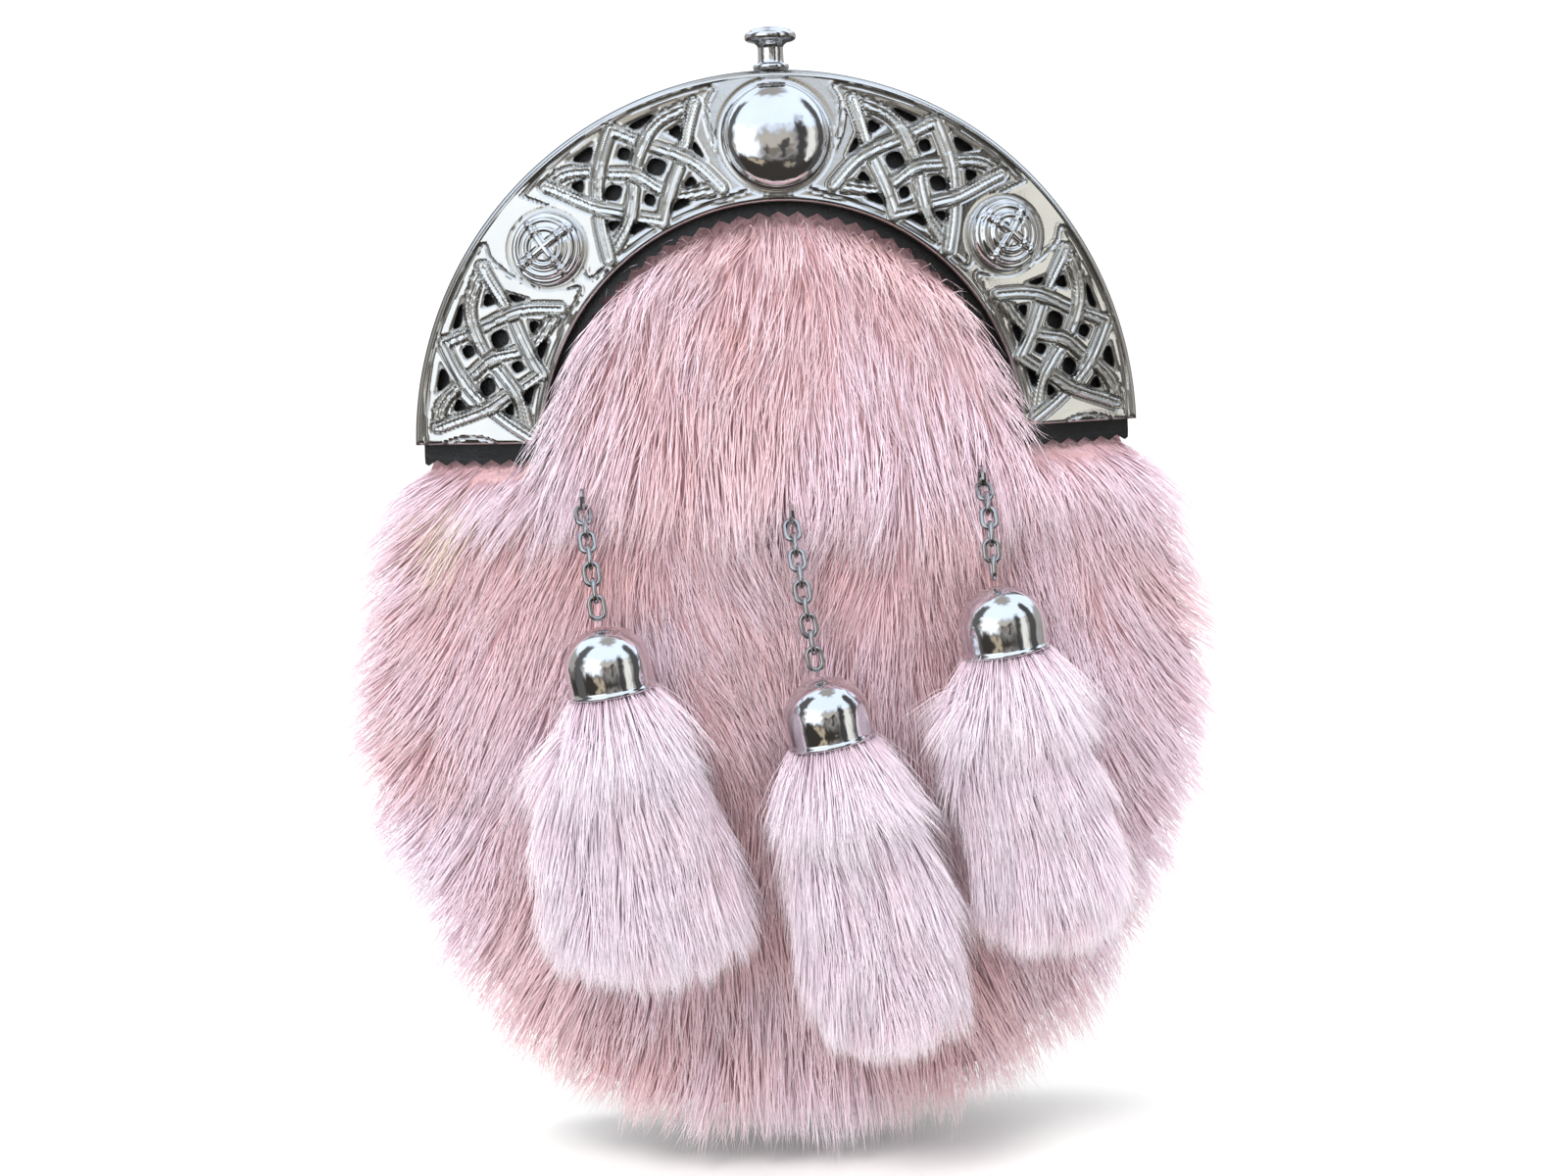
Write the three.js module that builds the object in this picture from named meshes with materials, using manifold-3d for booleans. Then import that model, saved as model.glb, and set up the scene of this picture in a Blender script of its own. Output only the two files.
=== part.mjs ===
// A full dress sporran pouch: fur front, pierced metal cantle, leather bag and three fur tassels on chains.
// Millimetres, +Z up, the front faces -Y. Sizes are first given from the centre of the cantle's arc, on its
// top's back face, and the whole pouch is then moved so that its origin lies where the strap carries it.
import * as THREE from "three";
import { mergeVertices } from "three/addons/utils/BufferGeometryUtils.js";
import Module from "manifold-3d";

const wasm = await Module();
wasm.setup();

// ---- driving dimensions ----
const GAP = 0.3;                     // clearance between neighbouring pieces
const RAD = Math.PI / 180;
const FAR = 200;                     // longer than anything that is cut

// cantle: a half ring of cast metal, dished forward at its inner edge and bent to the body
const CANTLE_OUTER_R = 84;
const CANTLE_INNER_R = 54.6;
const CANTLE_THICKNESS = 2.4;
const CANTLE_DISH = 6;               // how far the inner edge stands forward of the outer one
const CANTLE_LEG_Z = 2.7;            // height of the straight leg ends above the arc's centre
const BEND_RADIUS = 350;             // bend of the whole front about an upright axis
const RIM_DEPTH = 5;                 // flange turned back around the outer edge
const RIM_WALL = 1.6;
const BEVEL = 1.1;

// leather under the cantle, with a pinked edge
const LEATHER = 1.6;
const LEATHER_INNER_R = 51.4;
const LEATHER_LEG_Z = -2.2;
const TOOTH_DEPTH = 1.3;
const ARCH_TEETH = 38;
const LEG_TOOTH = 4.2;

// round ornaments, placed on the cantle by angle from the top
const ORNAMENT_R = 69;
const DOME_RADIUS = 12.2;
const DOME_HEIGHT = 6.2;
const BOSS_RADIUS = 8.5;
const BOSS_HEIGHT = 3.4;
const BOSS_ANGLE = 48.4;
const BOSS_CROSS_TURN = 20;
const UPPER_PANEL_ANGLE = 27;
const LOWER_PANEL_ANGLE = 71.5;

// bag
const CENTRE_Z = -42;                // middle of the round body, which its outline is drawn around
const BODY_R = 100;                  // about how far the body's outline stands from that middle
const ARC_FUR_R = 81.4;
const HIDE_BACK = 4.5;               // back of the hide behind the arc's plane
const RIM_MID = 3.2;                 // widest level of the fur's rounded edge
const FUR_BULGE = 15.5;
const BAG_SCALE = 0.93;              // bag outline against the fur outline
const WALL = 2;
const BAG_BACK = 40;                 // back edge of the gusset

// strap loops on the back, where the pouch hangs
const LOOP_X = 57;
const LOOP_WIDTH = 12;
const LOOP_Z = 11;
const LOOP_STANDOFF = 7;

// hanging ornaments
const WIRE = 0.95;
const LINK_WIDTH = 4;
const LINK_LENGTH = 5.9;
const LINK_PITCH = 3.72;
const CAP_RADIUS = 9.5;
const CAP_HEIGHT = 14.6;
const CAP_WALL = 0.9;
const EYE_R = 2;
const EYE_HEIGHT = CAP_HEIGHT + 3; // the cap's rim to the top of its eye's wire, measured to its middle

// ---- materials ----
const metal = (roughness) => new THREE.MeshStandardMaterial({ color: 0xc9ccd0, metalness: 1, roughness });
const leather = (color) => new THREE.MeshStandardMaterial({ color, metalness: 0, roughness: 0.5 });
const fur = (color) => new THREE.MeshStandardMaterial({ color, metalness: 0, roughness: 0.9 });
const BLACK = 0x151416;
const PINK = 0xe3b7bf;
const LILAC = 0xe6c6d3;

// ---- small tools ----
const pouch = new THREE.Group();

function addPiece(name, geometry, material) {
  const piece = new THREE.Mesh(weld(geometry), material);
  piece.name = name;
  pouch.add(piece);
  return piece;
}

// merges shared vertices and makes all faces point outwards
function weld(geometry) {
  const bare = geometry.clone();
  bare.deleteAttribute("normal");
  bare.deleteAttribute("uv");
  const welded = mergeVertices(bare, 1e-5);
  const faces = welded.index.array;
  const corners = [new THREE.Vector3(), new THREE.Vector3(), new THREE.Vector3()];
  let volume = 0;
  for (let i = 0; i < faces.length; i += 3) {
    corners.forEach((corner, k) => corner.fromBufferAttribute(welded.attributes.position, faces[i + k]));
    volume += corners[0].dot(corners[1].clone().cross(corners[2]));
  }
  if (volume < 0) faces.reverse();
  return welded;
}

function toSolid(geometry) {
  const welded = weld(geometry);
  return new wasm.Manifold(new wasm.Mesh({
    numProp: 3,
    vertProperties: new Float32Array(welded.attributes.position.array),
    triVerts: new Uint32Array(welded.index.array),
  }));
}

function toGeometry(solid) {
  const mesh = solid.getMesh();
  const geometry = new THREE.BufferGeometry();
  geometry.setAttribute("position", new THREE.BufferAttribute(mesh.vertProperties, 3));
  geometry.setIndex(new THREE.BufferAttribute(mesh.triVerts, 1));
  return geometry;
}

// moves every vertex of a geometry by a function of its place
function shift(geometry, move) {
  const positions = geometry.attributes.position;
  const point = new THREE.Vector3();
  for (let i = 0; i < positions.count; i += 1) {
    point.fromBufferAttribute(positions, i);
    move(point);
    positions.setXYZ(i, point.x, point.y, point.z);
  }
  return geometry;
}

const bendDepth = (x) => (x * x) / (2 * BEND_RADIUS);
const bend = (geometry) => shift(geometry, (p) => { p.y += bendDepth(p.x); });
const dishDepth = (radius) => (-CANTLE_DISH * (CANTLE_OUTER_R - radius)) / (CANTLE_OUTER_R - CANTLE_INNER_R);
const polar = (radius, degreesFromTop) => new THREE.Vector2(
  radius * Math.sin(degreesFromTop * RAD),
  radius * Math.cos(degreesFromTop * RAD),
);

// a full ring about the front-to-back axis, from a profile of [radius, y] corners
function turnedRing(profile, segments) {
  const corners = [...profile, profile[0]].map(([radius, y]) => new THREE.Vector2(radius, -y));
  return new THREE.LatheGeometry(corners, segments).rotateX(Math.PI);
}

// a turned knob, boss or cap standing on the XZ plane and rising towards the front
function turnedForward(profile, segments) {
  const corners = profile.map(([radius, height]) => new THREE.Vector2(radius, height));
  return new THREE.LatheGeometry(corners, segments).rotateX(Math.PI);
}

// an upright prism through the front, from a flat outline of (x, z) points
function prism(outline, nearY, farY) {
  const shape = new THREE.Shape(outline.map((p) => new THREE.Vector2(p.x, p.y)));
  const depth = farY - nearY;
  const geometry = new THREE.ExtrudeGeometry(shape, { depth, bevelEnabled: false });
  return geometry.rotateX(Math.PI / 2).translate(0, farY, 0);
}

function boxBetween(low, high) {
  const size = high.map((value, axis) => value - low[axis]);
  const middle = high.map((value, axis) => (value + low[axis]) / 2);
  return new THREE.BoxGeometry(...size).translate(...middle);
}

const above = (z) => toSolid(boxBetween([-FAR, -FAR, z], [FAR, FAR, FAR]));

// ---- cantle ----
// Holes of one knotwork panel: angle in degrees from the panel's middle (plus is towards the dome) and radius.
// The side hole faces the dome on an upper panel and the boss on a lower one.
const KNOT_HOLES = {
  outerSquare: [[0, 76.3], [-1.5, 74.4], [0, 72.6], [1.5, 74.4]],
  domeSquare: [[1.7, 68.9], [4.1, 71.1], [6.4, 68.4], [4, 66]],
  farSquare: [[-7.6, 68.5], [-5.3, 70.6], [-3, 68.4], [-5.3, 66.1]],
  innerSquare: [[0, 64.6], [-1.5, 62.8], [0, 60.9], [1.5, 62.8]],
  domeOuterTip: [[8, 74.8], [10.9, 75.7], [9.9, 72]],
  farOuterTip: [[-8, 74.8], [-10.9, 75.7], [-9.9, 72]],
  domeInnerTip: [[7, 62.2], [9.6, 64.2], [10.4, 61.4]],
  farInnerTip: [[-7, 62.2], [-9.6, 64.2], [-10.4, 61.4]],
  domeOuterEdge: [[2.4, 79.7], [8.2, 79.9], [3.8, 77.5]],
  farOuterEdge: [[-8.4, 79.9], [-3.3, 79.9], [-5.6, 76.6]],
  domeInnerEdge: [[2.6, 58], [7.6, 58.2], [6.2, 60], [4.4, 59.8]],
  farInnerEdge: [[-7.6, 58.2], [-2.6, 58], [-4.4, 59.8], [-6.2, 60]],
  side: [[12.3, 71.4], [13.3, 66.2], [11.2, 69]],
};

const PANELS = [
  { middle: -LOWER_PANEL_ANGLE, towardsDome: 1 },
  { middle: -UPPER_PANEL_ANGLE, towardsDome: 1 },
  { middle: UPPER_PANEL_ANGLE, towardsDome: -1 },
  { middle: LOWER_PANEL_ANGLE, towardsDome: -1 },
];

function cutKnotHoles(solid) {
  let pierced = solid;
  for (const panel of PANELS) {
    for (const corners of Object.values(KNOT_HOLES)) {
      const outline = corners.map(([angle, radius]) => {
        return polar(radius, panel.middle + panel.towardsDome * angle);
      });
      if (THREE.ShapeUtils.area(outline) < 0) outline.reverse();
      pierced = pierced.subtract(toSolid(prism(outline, -FAR / 2, FAR / 2)));
    }
  }
  return pierced;
}

function cantle() {
  const front = (radius) => dishDepth(radius) - CANTLE_THICKNESS;
  const rimInner = CANTLE_OUTER_R - RIM_WALL;
  const profile = [
    [CANTLE_INNER_R, dishDepth(CANTLE_INNER_R)],
    [CANTLE_INNER_R, front(CANTLE_INNER_R) + BEVEL],
    [CANTLE_INNER_R + BEVEL, front(CANTLE_INNER_R + BEVEL)],
    [CANTLE_OUTER_R - BEVEL, front(CANTLE_OUTER_R - BEVEL)],
    [CANTLE_OUTER_R, front(CANTLE_OUTER_R) + BEVEL],
    [CANTLE_OUTER_R, RIM_DEPTH],
    [rimInner, RIM_DEPTH],
    [rimInner, dishDepth(rimInner)],
  ];
  const halfRing = toSolid(turnedRing(profile, 96)).intersect(above(CANTLE_LEG_Z));
  return bend(toGeometry(cutKnotHoles(halfRing)));
}

// a zigzag between two points along an arc or a straight line, given by a function of 0 to 1
function pinked(at, teeth) {
  const points = [];
  for (let i = 0; i <= teeth; i += 1) {
    points.push(at(i / teeth, TOOTH_DEPTH));
    if (i < teeth) points.push(at((i + 0.5) / teeth, 0));
  }
  return points;
}

function cantleBacking() {
  const back = (radius) => dishDepth(radius) + GAP + LEATHER;
  const outer = CANTLE_OUTER_R - RIM_WALL - GAP;
  const inner = LEATHER_INNER_R - 3;
  const front = (radius) => dishDepth(radius) + GAP;
  const profile = [[inner, front(inner)], [outer, front(outer)], [outer, back(outer)], [inner, back(inner)]];
  const sheet = toSolid(turnedRing(profile, 96)).intersect(above(LEATHER_LEG_Z));
  const archEdge = pinked((t, out) => polar(LEATHER_INNER_R + out, -93 + 186 * t), ARCH_TEETH);
  const arch = [...archEdge, new THREE.Vector2(40, -FAR), new THREE.Vector2(-40, -FAR)].reverse();
  const legEdge = (t, out) => new THREE.Vector2(FAR * (t - 0.5), LEATHER_LEG_Z + out);
  const legLine = pinked(legEdge, Math.round(FAR / LEG_TOOTH));
  const below = [...legLine, new THREE.Vector2(FAR / 2, -FAR), new THREE.Vector2(-FAR / 2, -FAR)].reverse();
  const archCut = sheet.subtract(toSolid(prism(arch, -FAR / 2, FAR / 2)));
  return bend(toGeometry(archCut.subtract(toSolid(prism(below, -FAR / 2, FAR / 2)))));
}

// turns a forward-facing ornament to the cantle's slope and sets it on the plate
function seatOnCantle(piece, radius, degreesFromTop) {
  const at = polar(radius, degreesFromTop);
  const slope = CANTLE_DISH / (CANTLE_OUTER_R - CANTLE_INNER_R);
  const away = at.clone().normalize().multiplyScalar(slope);
  const normal = new THREE.Vector3(away.x + at.x / BEND_RADIUS, -1, away.y).normalize();
  const plate = new THREE.Vector3(at.x, bendDepth(at.x) + dishDepth(radius) - CANTLE_THICKNESS, at.y);
  piece.quaternion.setFromUnitVectors(new THREE.Vector3(0, -1, 0), normal);
  piece.position.copy(plate).addScaledVector(normal, 2 * GAP);
}

function centreDome() {
  const profile = [[0, 0], [DOME_RADIUS, 0], [DOME_RADIUS, 0.8]];
  for (let step = 1; step <= 6; step += 1) {
    const angle = (step / 6) * Math.PI / 2;
    profile.push([(DOME_RADIUS - 0.5) * Math.cos(angle), 0.8 + (DOME_HEIGHT - 0.8) * Math.sin(angle)]);
  }
  profile[profile.length - 1][0] = 0;
  return turnedForward(profile, 28);
}

function boss() {
  const dome = (radius) => 1.2 + (BOSS_HEIGHT - 1.2) * (1 - (radius / BOSS_RADIUS) ** 2);
  const profile = [[0, 0], [BOSS_RADIUS, 0], [BOSS_RADIUS, 0.9]];
  for (const [radius, rise] of [[7.4, 0.4], [6.9, -0.2], [5.4, -0.2], [4.9, 0.4], [4.1, 0.4], [3.6, -0.2]]) {
    profile.push([radius, dome(radius) + rise]);
  }
  profile.push([0, dome(0)]);
  const disc = toSolid(turnedForward(profile, 20));
  const bar = new THREE.BoxGeometry(2 * BOSS_RADIUS - 1.2, BOSS_HEIGHT, 1.3);
  bar.translate(0, -BOSS_HEIGHT / 2 - 0.3, 0);
  const crossBar = bar.clone().rotateY(Math.PI / 2);
  const cover = [
    [0, 0],
    [BOSS_RADIUS - 0.4, 0],
    [BOSS_RADIUS - 0.4, 1.2],
    [5, dome(5) + 0.5],
    [0, dome(0) + 0.5],
  ];
  const cross = toSolid(bar).add(toSolid(crossBar)).intersect(toSolid(turnedForward(cover, 20)));
  return toGeometry(disc.add(cross)).rotateY(BOSS_CROSS_TURN * RAD);
}

function knob() {
  const profile = [
    [0, 0], [4, 0], [4, 1], [3, 1.6], [2.9, 5], [3.6, 5.8],
    [5.4, 6.1], [5.8, 6.9], [5.6, 8.2], [4.6, 9.2], [0, 9.4],
  ];
  return new THREE.LatheGeometry(profile.map(([r, z]) => new THREE.Vector2(r, z)), 20).rotateX(Math.PI / 2);
}

// ---- bag ----
// Half width of the body at each height below the arc; the same on both sides.
const BODY_OUTLINE = [
  { z: 11, half: 81.5 },
  { z: 0, half: 85.5 },
  { z: -12, half: 91 },
  { z: -26, half: 95.5 },
  { z: -46, half: 98.5 },
  { z: -68, half: 99.5 },
  { z: -84, half: 97 },
  { z: -102, half: 90 },
  { z: -122, half: 79 },
  { z: -140, half: 65 },
  { z: -153, half: 48 },
  { z: -161, half: 26 },
  { z: -163.5, half: 0 },
];

// the whole outline, clockwise from the top, as one smooth closed curve around the bag's middle
function bodyOutline(count, scale = 1) {
  const rightSide = [0, 14, 28, 42, 56, 70].map((angle) => polar(ARC_FUR_R, angle));
  for (const { z, half } of BODY_OUTLINE) rightSide.push(new THREE.Vector2(half, z));
  const leftSide = rightSide.slice(1, -1).reverse().map((p) => new THREE.Vector2(-p.x, p.y));
  const loop = [...rightSide, ...leftSide].map((p) => new THREE.Vector3(p.x, p.y, 0));
  const curve = new THREE.CatmullRomCurve3(loop, true, "centripetal");
  return curve.getSpacedPoints(count).slice(0, count).map((p) => new THREE.Vector2(
    p.x * scale,
    CENTRE_Z + (p.y - CENTRE_Z) * scale,
  ));
}

// a closed body of rings: each ring is a list of points, and both ends close on a middle point
function ringedBody(start, rings, end) {
  const points = [start, ...rings.flat(), end];
  const count = rings[0].length;
  const faces = [];
  for (let i = 0; i < count; i += 1) {
    const next = (i + 1) % count;
    faces.push(0, 1 + i, 1 + next);
    for (let ring = 0; ring < rings.length - 1; ring += 1) {
      const near = 1 + ring * count;
      const far = near + count;
      faces.push(near + i, far + i, far + next, near + i, far + next, near + next);
    }
    const last = 1 + (rings.length - 1) * count;
    faces.push(last + i, points.length - 1, last + next);
  }
  const geometry = new THREE.BufferGeometry().setFromPoints(points);
  geometry.setIndex(faces);
  return geometry;
}

function furForm() {
  const outline = bodyOutline(72);
  const ringAt = (t, front) => outline.map((p) => {
    const x = p.x * t;
    const z = CENTRE_Z + (p.y - CENTRE_Z) * t;
    const rise = front ? -FUR_BULGE * Math.sqrt(1 - t ** 3) : (HIDE_BACK - RIM_MID) * Math.sqrt(1 - t ** 12);
    return new THREE.Vector3(x, bendDepth(x) + RIM_MID + rise, z);
  });
  const rings = [0.2, 0.4, 0.6, 0.75, 0.86, 0.94, 0.985, 1].map((t) => ringAt(t, true));
  for (const t of [0.985, 0.92, 0.6, 0.3]) rings.push(ringAt(t, false));
  return ringedBody(
    new THREE.Vector3(0, RIM_MID - FUR_BULGE, CENTRE_Z),
    rings,
    new THREE.Vector3(0, HIDE_BACK, CENTRE_Z),
  );
}

// the room that the cantle and its leather take out of the fur's form
function cantleRoom() {
  const inner = LEATHER_INNER_R - GAP;
  const back = (radius) => dishDepth(radius) + GAP + LEATHER + GAP;
  const rimInner = CANTLE_OUTER_R - RIM_WALL - GAP;
  const rimBack = RIM_DEPTH + GAP;
  const profile = [
    [inner, -60], [110, -60], [110, rimBack],
    [rimInner, rimBack], [rimInner, back(rimInner)], [inner, back(inner)],
  ];
  const room = toSolid(turnedRing(profile, 72)).intersect(above(LEATHER_LEG_Z - GAP));
  return toSolid(bend(toGeometry(room)));
}

const HANGERS = [
  { side: "left", top: [-46.9, -6.5], mid: [-45.4, -20], eye: [-43.9, -33.4], depth: -26, links: 7, lean: 8 },
  { side: "middle", top: [-0.8, -11.5], mid: [0.8, -29], eye: [3.2, -46.6], depth: -27.5, links: 9, lean: 10 },
  { side: "right", top: [43, -4.5], mid: [43, -16], eye: [43.2, -28.3], depth: -26, links: 6, lean: 8 },
];
const ANCHOR_R = 2.6;
const ANCHOR_WIRE = 1.1;
// a link's middle to the wire that it hangs on
const LINK_HOLD = LINK_LENGTH / 2 - WIRE - ANCHOR_WIRE / 2 - 0.15;

const furSurfaceY = (x, z) => {
  const reach = Math.hypot(x, z - CENTRE_Z) / BODY_R;
  return bendDepth(x) + RIM_MID - FUR_BULGE * Math.sqrt(1 - Math.min(reach, 1) ** 3);
};

// Where one hanger's ring and links lie. The route ends at the wire of the cap's eye, and links are
// counted back from there, so that every two that pass through each other keep a little play.
function layOut({ top, mid, eye, depth, links }) {
  const surface = furSurfaceY(top[0], top[1]);
  const route = new THREE.CatmullRomCurve3([
    new THREE.Vector3(top[0], surface - 2, top[1]),
    new THREE.Vector3(mid[0], surface + 0.8 * (depth - surface), mid[1]),
    new THREE.Vector3(eye[0], depth, eye[1]),
  ]);
  const length = route.getLength();
  const lastLink = length - LINK_HOLD;
  const linkAt = (i) => (lastLink - (links - 1 - i) * LINK_PITCH) / length;
  const grip = route.getPointAt(linkAt(0) - LINK_HOLD / length);
  const ring = grip.add(new THREE.Vector3(0, ANCHOR_R * Math.SQRT1_2, ANCHOR_R * Math.SQRT1_2));
  return { route, linkAt, ring };
}

// a narrow slot in the fur for each ring that a chain hangs on
function ringSlots() {
  const half = ANCHOR_WIRE / 2 + GAP;
  const reach = ANCHOR_R + ANCHOR_WIRE / 2 + GAP;
  return HANGERS.map((hanger) => {
    const { x, y, z } = layOut(hanger).ring;
    return toSolid(boxBetween([x - half, y - 10, z - reach], [x + half, y + reach, z + reach]));
  });
}

function furFront() {
  let form = toSolid(furForm()).subtract(cantleRoom());
  for (const slot of ringSlots()) form = form.subtract(slot);
  return toGeometry(form);
}

function gusset() {
  const count = 72;
  const outer = bodyOutline(count, BAG_SCALE);
  const inner = bodyOutline(count, BAG_SCALE - WALL / BODY_R);
  const frontY = (x) => bendDepth(x) + HIDE_BACK + GAP;
  const points = [];
  for (let i = 0; i < count; i += 1) {
    const [a, b] = [outer[i], inner[i]];
    points.push(new THREE.Vector3(a.x, frontY(a.x), a.y), new THREE.Vector3(a.x, BAG_BACK, a.y));
    points.push(new THREE.Vector3(b.x, BAG_BACK, b.y), new THREE.Vector3(b.x, frontY(b.x), b.y));
  }
  const faces = [];
  for (let i = 0; i < count; i += 1) {
    const here = 4 * i;
    const next = 4 * ((i + 1) % count);
    for (let corner = 0; corner < 4; corner += 1) {
      const turn = (corner + 1) % 4;
      faces.push(here + corner, next + corner, next + turn, here + corner, next + turn, here + turn);
    }
  }
  const geometry = new THREE.BufferGeometry().setFromPoints(points);
  geometry.setIndex(faces);
  return geometry;
}

function roundedPlate(left, right, low, high, corner, nearY, thickness) {
  const shape = new THREE.Shape();
  shape.moveTo(left + corner, low);
  shape.lineTo(right - corner, low);
  shape.absarc(right - corner, low + corner, corner, -Math.PI / 2, 0);
  shape.absarc(right - corner, high - corner, corner, 0, Math.PI / 2);
  shape.absarc(left + corner, high - corner, corner, Math.PI / 2, Math.PI);
  shape.absarc(left + corner, low + corner, corner, Math.PI, 1.5 * Math.PI);
  return prism(shape.getPoints(6), nearY, nearY + thickness);
}

const PANEL_NEAR = BAG_BACK + GAP;
const PANEL_FAR = PANEL_NEAR + WALL;
const MOUTH = { half: 40, low: 16, high: 44, corner: 8 };
const FLAP = { half: 45.5, low: -10, high: 58, corner: 14 };
const STUD = { z: 0, radius: 5 };

function backPanel() {
  const outline = bodyOutline(72, BAG_SCALE);
  if (THREE.ShapeUtils.area(outline) < 0) outline.reverse();
  const sheet = toSolid(prism(outline, PANEL_NEAR, PANEL_FAR));
  const { half, low, high, corner } = MOUTH;
  const mouth = roundedPlate(-half, half, low, high, corner, PANEL_NEAR - 1, WALL + 2);
  return toGeometry(sheet.subtract(toSolid(mouth)));
}

function backFlap() {
  return roundedPlate(-FLAP.half, FLAP.half, FLAP.low, FLAP.high, FLAP.corner, PANEL_FAR + GAP, WALL);
}

function flapStud() {
  const profile = [[0, 0], [STUD.radius, 0], [STUD.radius, 1.2], [4, 2.1], [0, 2.6]];
  const corners = profile.map(([radius, height]) => new THREE.Vector2(radius, height));
  return new THREE.LatheGeometry(corners, 24).translate(0, PANEL_FAR + GAP + WALL + GAP, 0);
}

// a sewn leather loop: flat feet at top and bottom with a straight bridge between them
function beltLoop() {
  const foot = PANEL_FAR + GAP;
  const bridge = foot + LOOP_STANDOFF;
  const side = [
    [-20, 0], [-13, 0], [-9.5, LOOP_STANDOFF], [9.5, LOOP_STANDOFF], [13, 0], [20, 0],
    [20, WALL], [14.2, WALL], [10.6, LOOP_STANDOFF + WALL],
    [-10.6, LOOP_STANDOFF + WALL], [-14.2, WALL], [-20, WALL],
  ];
  const shape = new THREE.Shape(side.map(([z, y]) => new THREE.Vector2(y, z)));
  const strip = new THREE.ExtrudeGeometry(shape, { depth: LOOP_WIDTH, bevelEnabled: false });
  // the drawn plane is (y, z) and the strip's width runs along x
  return shift(strip, (p) => p.set(p.z - LOOP_WIDTH / 2, foot + p.x, p.y));
}

// ---- hanging ornaments ----
function ringGeometry(radius, wire, around) {
  return new THREE.TorusGeometry(radius, wire / 2, 5, around);
}

// an oval link standing in the XY plane, long along Y
function linkGeometry() {
  const around = 10;
  const radius = (LINK_WIDTH - WIRE) / 2;
  const stretch = (LINK_LENGTH - LINK_WIDTH) / 2;
  const ring = ringGeometry(radius, WIRE, around).rotateZ(Math.PI / around);
  return shift(ring, (p) => { p.y += Math.sign(p.y) * stretch; });
}

function chain(hanger) {
  const { route, linkAt, ring: ringCentre } = layOut(hanger);
  for (let i = 0; i < hanger.links; i += 1) {
    const down = route.getTangentAt(linkAt(i));
    const across = new THREE.Vector3(1, 0, 0).addScaledVector(down, -down.x).normalize();
    const facing = new THREE.Vector3().crossVectors(across, down);
    const piece = addPiece(`chain_${hanger.side}_link_${i + 1}`, linkGeometry(), metal(0.25));
    if (i % 2 === 0) piece.setRotationFromMatrix(new THREE.Matrix4().makeBasis(across, down, facing));
    else piece.setRotationFromMatrix(new THREE.Matrix4().makeBasis(facing.negate(), down, across));
    piece.position.copy(route.getPointAt(linkAt(i)));
  }
  const ring = addPiece(`chain_${hanger.side}_ring`, ringGeometry(ANCHOR_R, ANCHOR_WIRE, 12), metal(0.25));
  ring.rotation.set(0, Math.PI / 2, 0);
  ring.position.copy(ringCentre);
}

// open bell: its rim at height 0, its crown and eye above
function bellCap(eyeFacing) {
  const outer = [[CAP_RADIUS + 0.3, 0], [CAP_RADIUS + 0.3, 0.9], [CAP_RADIUS - 0.1, 1.6], [CAP_RADIUS, 5]];
  const crown = CAP_HEIGHT - 6;
  for (const angle of [18, 38, 58, 76]) {
    outer.push([CAP_RADIUS * Math.cos(angle * RAD), 6 + crown * Math.sin(angle * RAD)]);
  }
  outer.push([0, CAP_HEIGHT]);
  const inner = [[0, CAP_HEIGHT - CAP_WALL]];
  for (const angle of [62, 30]) {
    inner.push([
      (CAP_RADIUS - CAP_WALL) * Math.cos(angle * RAD),
      6 + (crown - CAP_WALL) * Math.sin(angle * RAD),
    ]);
  }
  inner.push([CAP_RADIUS - CAP_WALL, 5], [CAP_RADIUS - CAP_WALL, 0]);
  const profile = [...inner, ...outer].map(([r, z]) => new THREE.Vector2(r, z));
  const shell = new THREE.LatheGeometry(profile, 20).rotateX(Math.PI / 2);
  const eye = ringGeometry(EYE_R, ANCHOR_WIRE, 12).rotateX(Math.PI / 2).rotateZ(eyeFacing);
  eye.translate(0, 0, EYE_HEIGHT - EYE_R);
  return toGeometry(toSolid(shell).add(toSolid(eye)));
}

// Tassel sections below the cap, top to bottom: height z, middle x, half width and half depth.
const TASSELS = {
  left: [
    [-55.5, -41.6, 11, 9.8],
    [-60, -41.2, 14.8, 11.2],
    [-67, -40.7, 18.4, 12.4],
    [-78, -39.2, 22.2, 12.8],
    [-92, -37.4, 24, 12.8],
    [-104, -36.6, 22.4, 12],
    [-110.5, -36.6, 16.5, 9],
  ],
  middle: [
    [-68.5, 7, 10.6, 9.8],
    [-73, 7.8, 13.6, 11.2],
    [-81, 9.6, 16.8, 12.4],
    [-93, 12.6, 18.9, 12.8],
    [-107, 15.4, 20, 12.8],
    [-121, 17.2, 18.5, 12],
    [-130, 17, 13, 9],
  ],
  right: [
    [-50.5, 45.8, 10.6, 9.8],
    [-55, 45.9, 13.8, 11.2],
    [-63, 46.4, 16.5, 12.4],
    [-76, 50, 18.2, 12.8],
    [-92, 53.6, 18.6, 12.8],
    [-102, 54.4, 17.2, 12],
    [-108.5, 54.2, 12, 8.6],
  ],
};

// Neck of a tassel, gripped by its cap: height above the rim and radius.
const NECK = [[5, 6.2], [1, 7.5], [-2.4, 8]];

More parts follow.
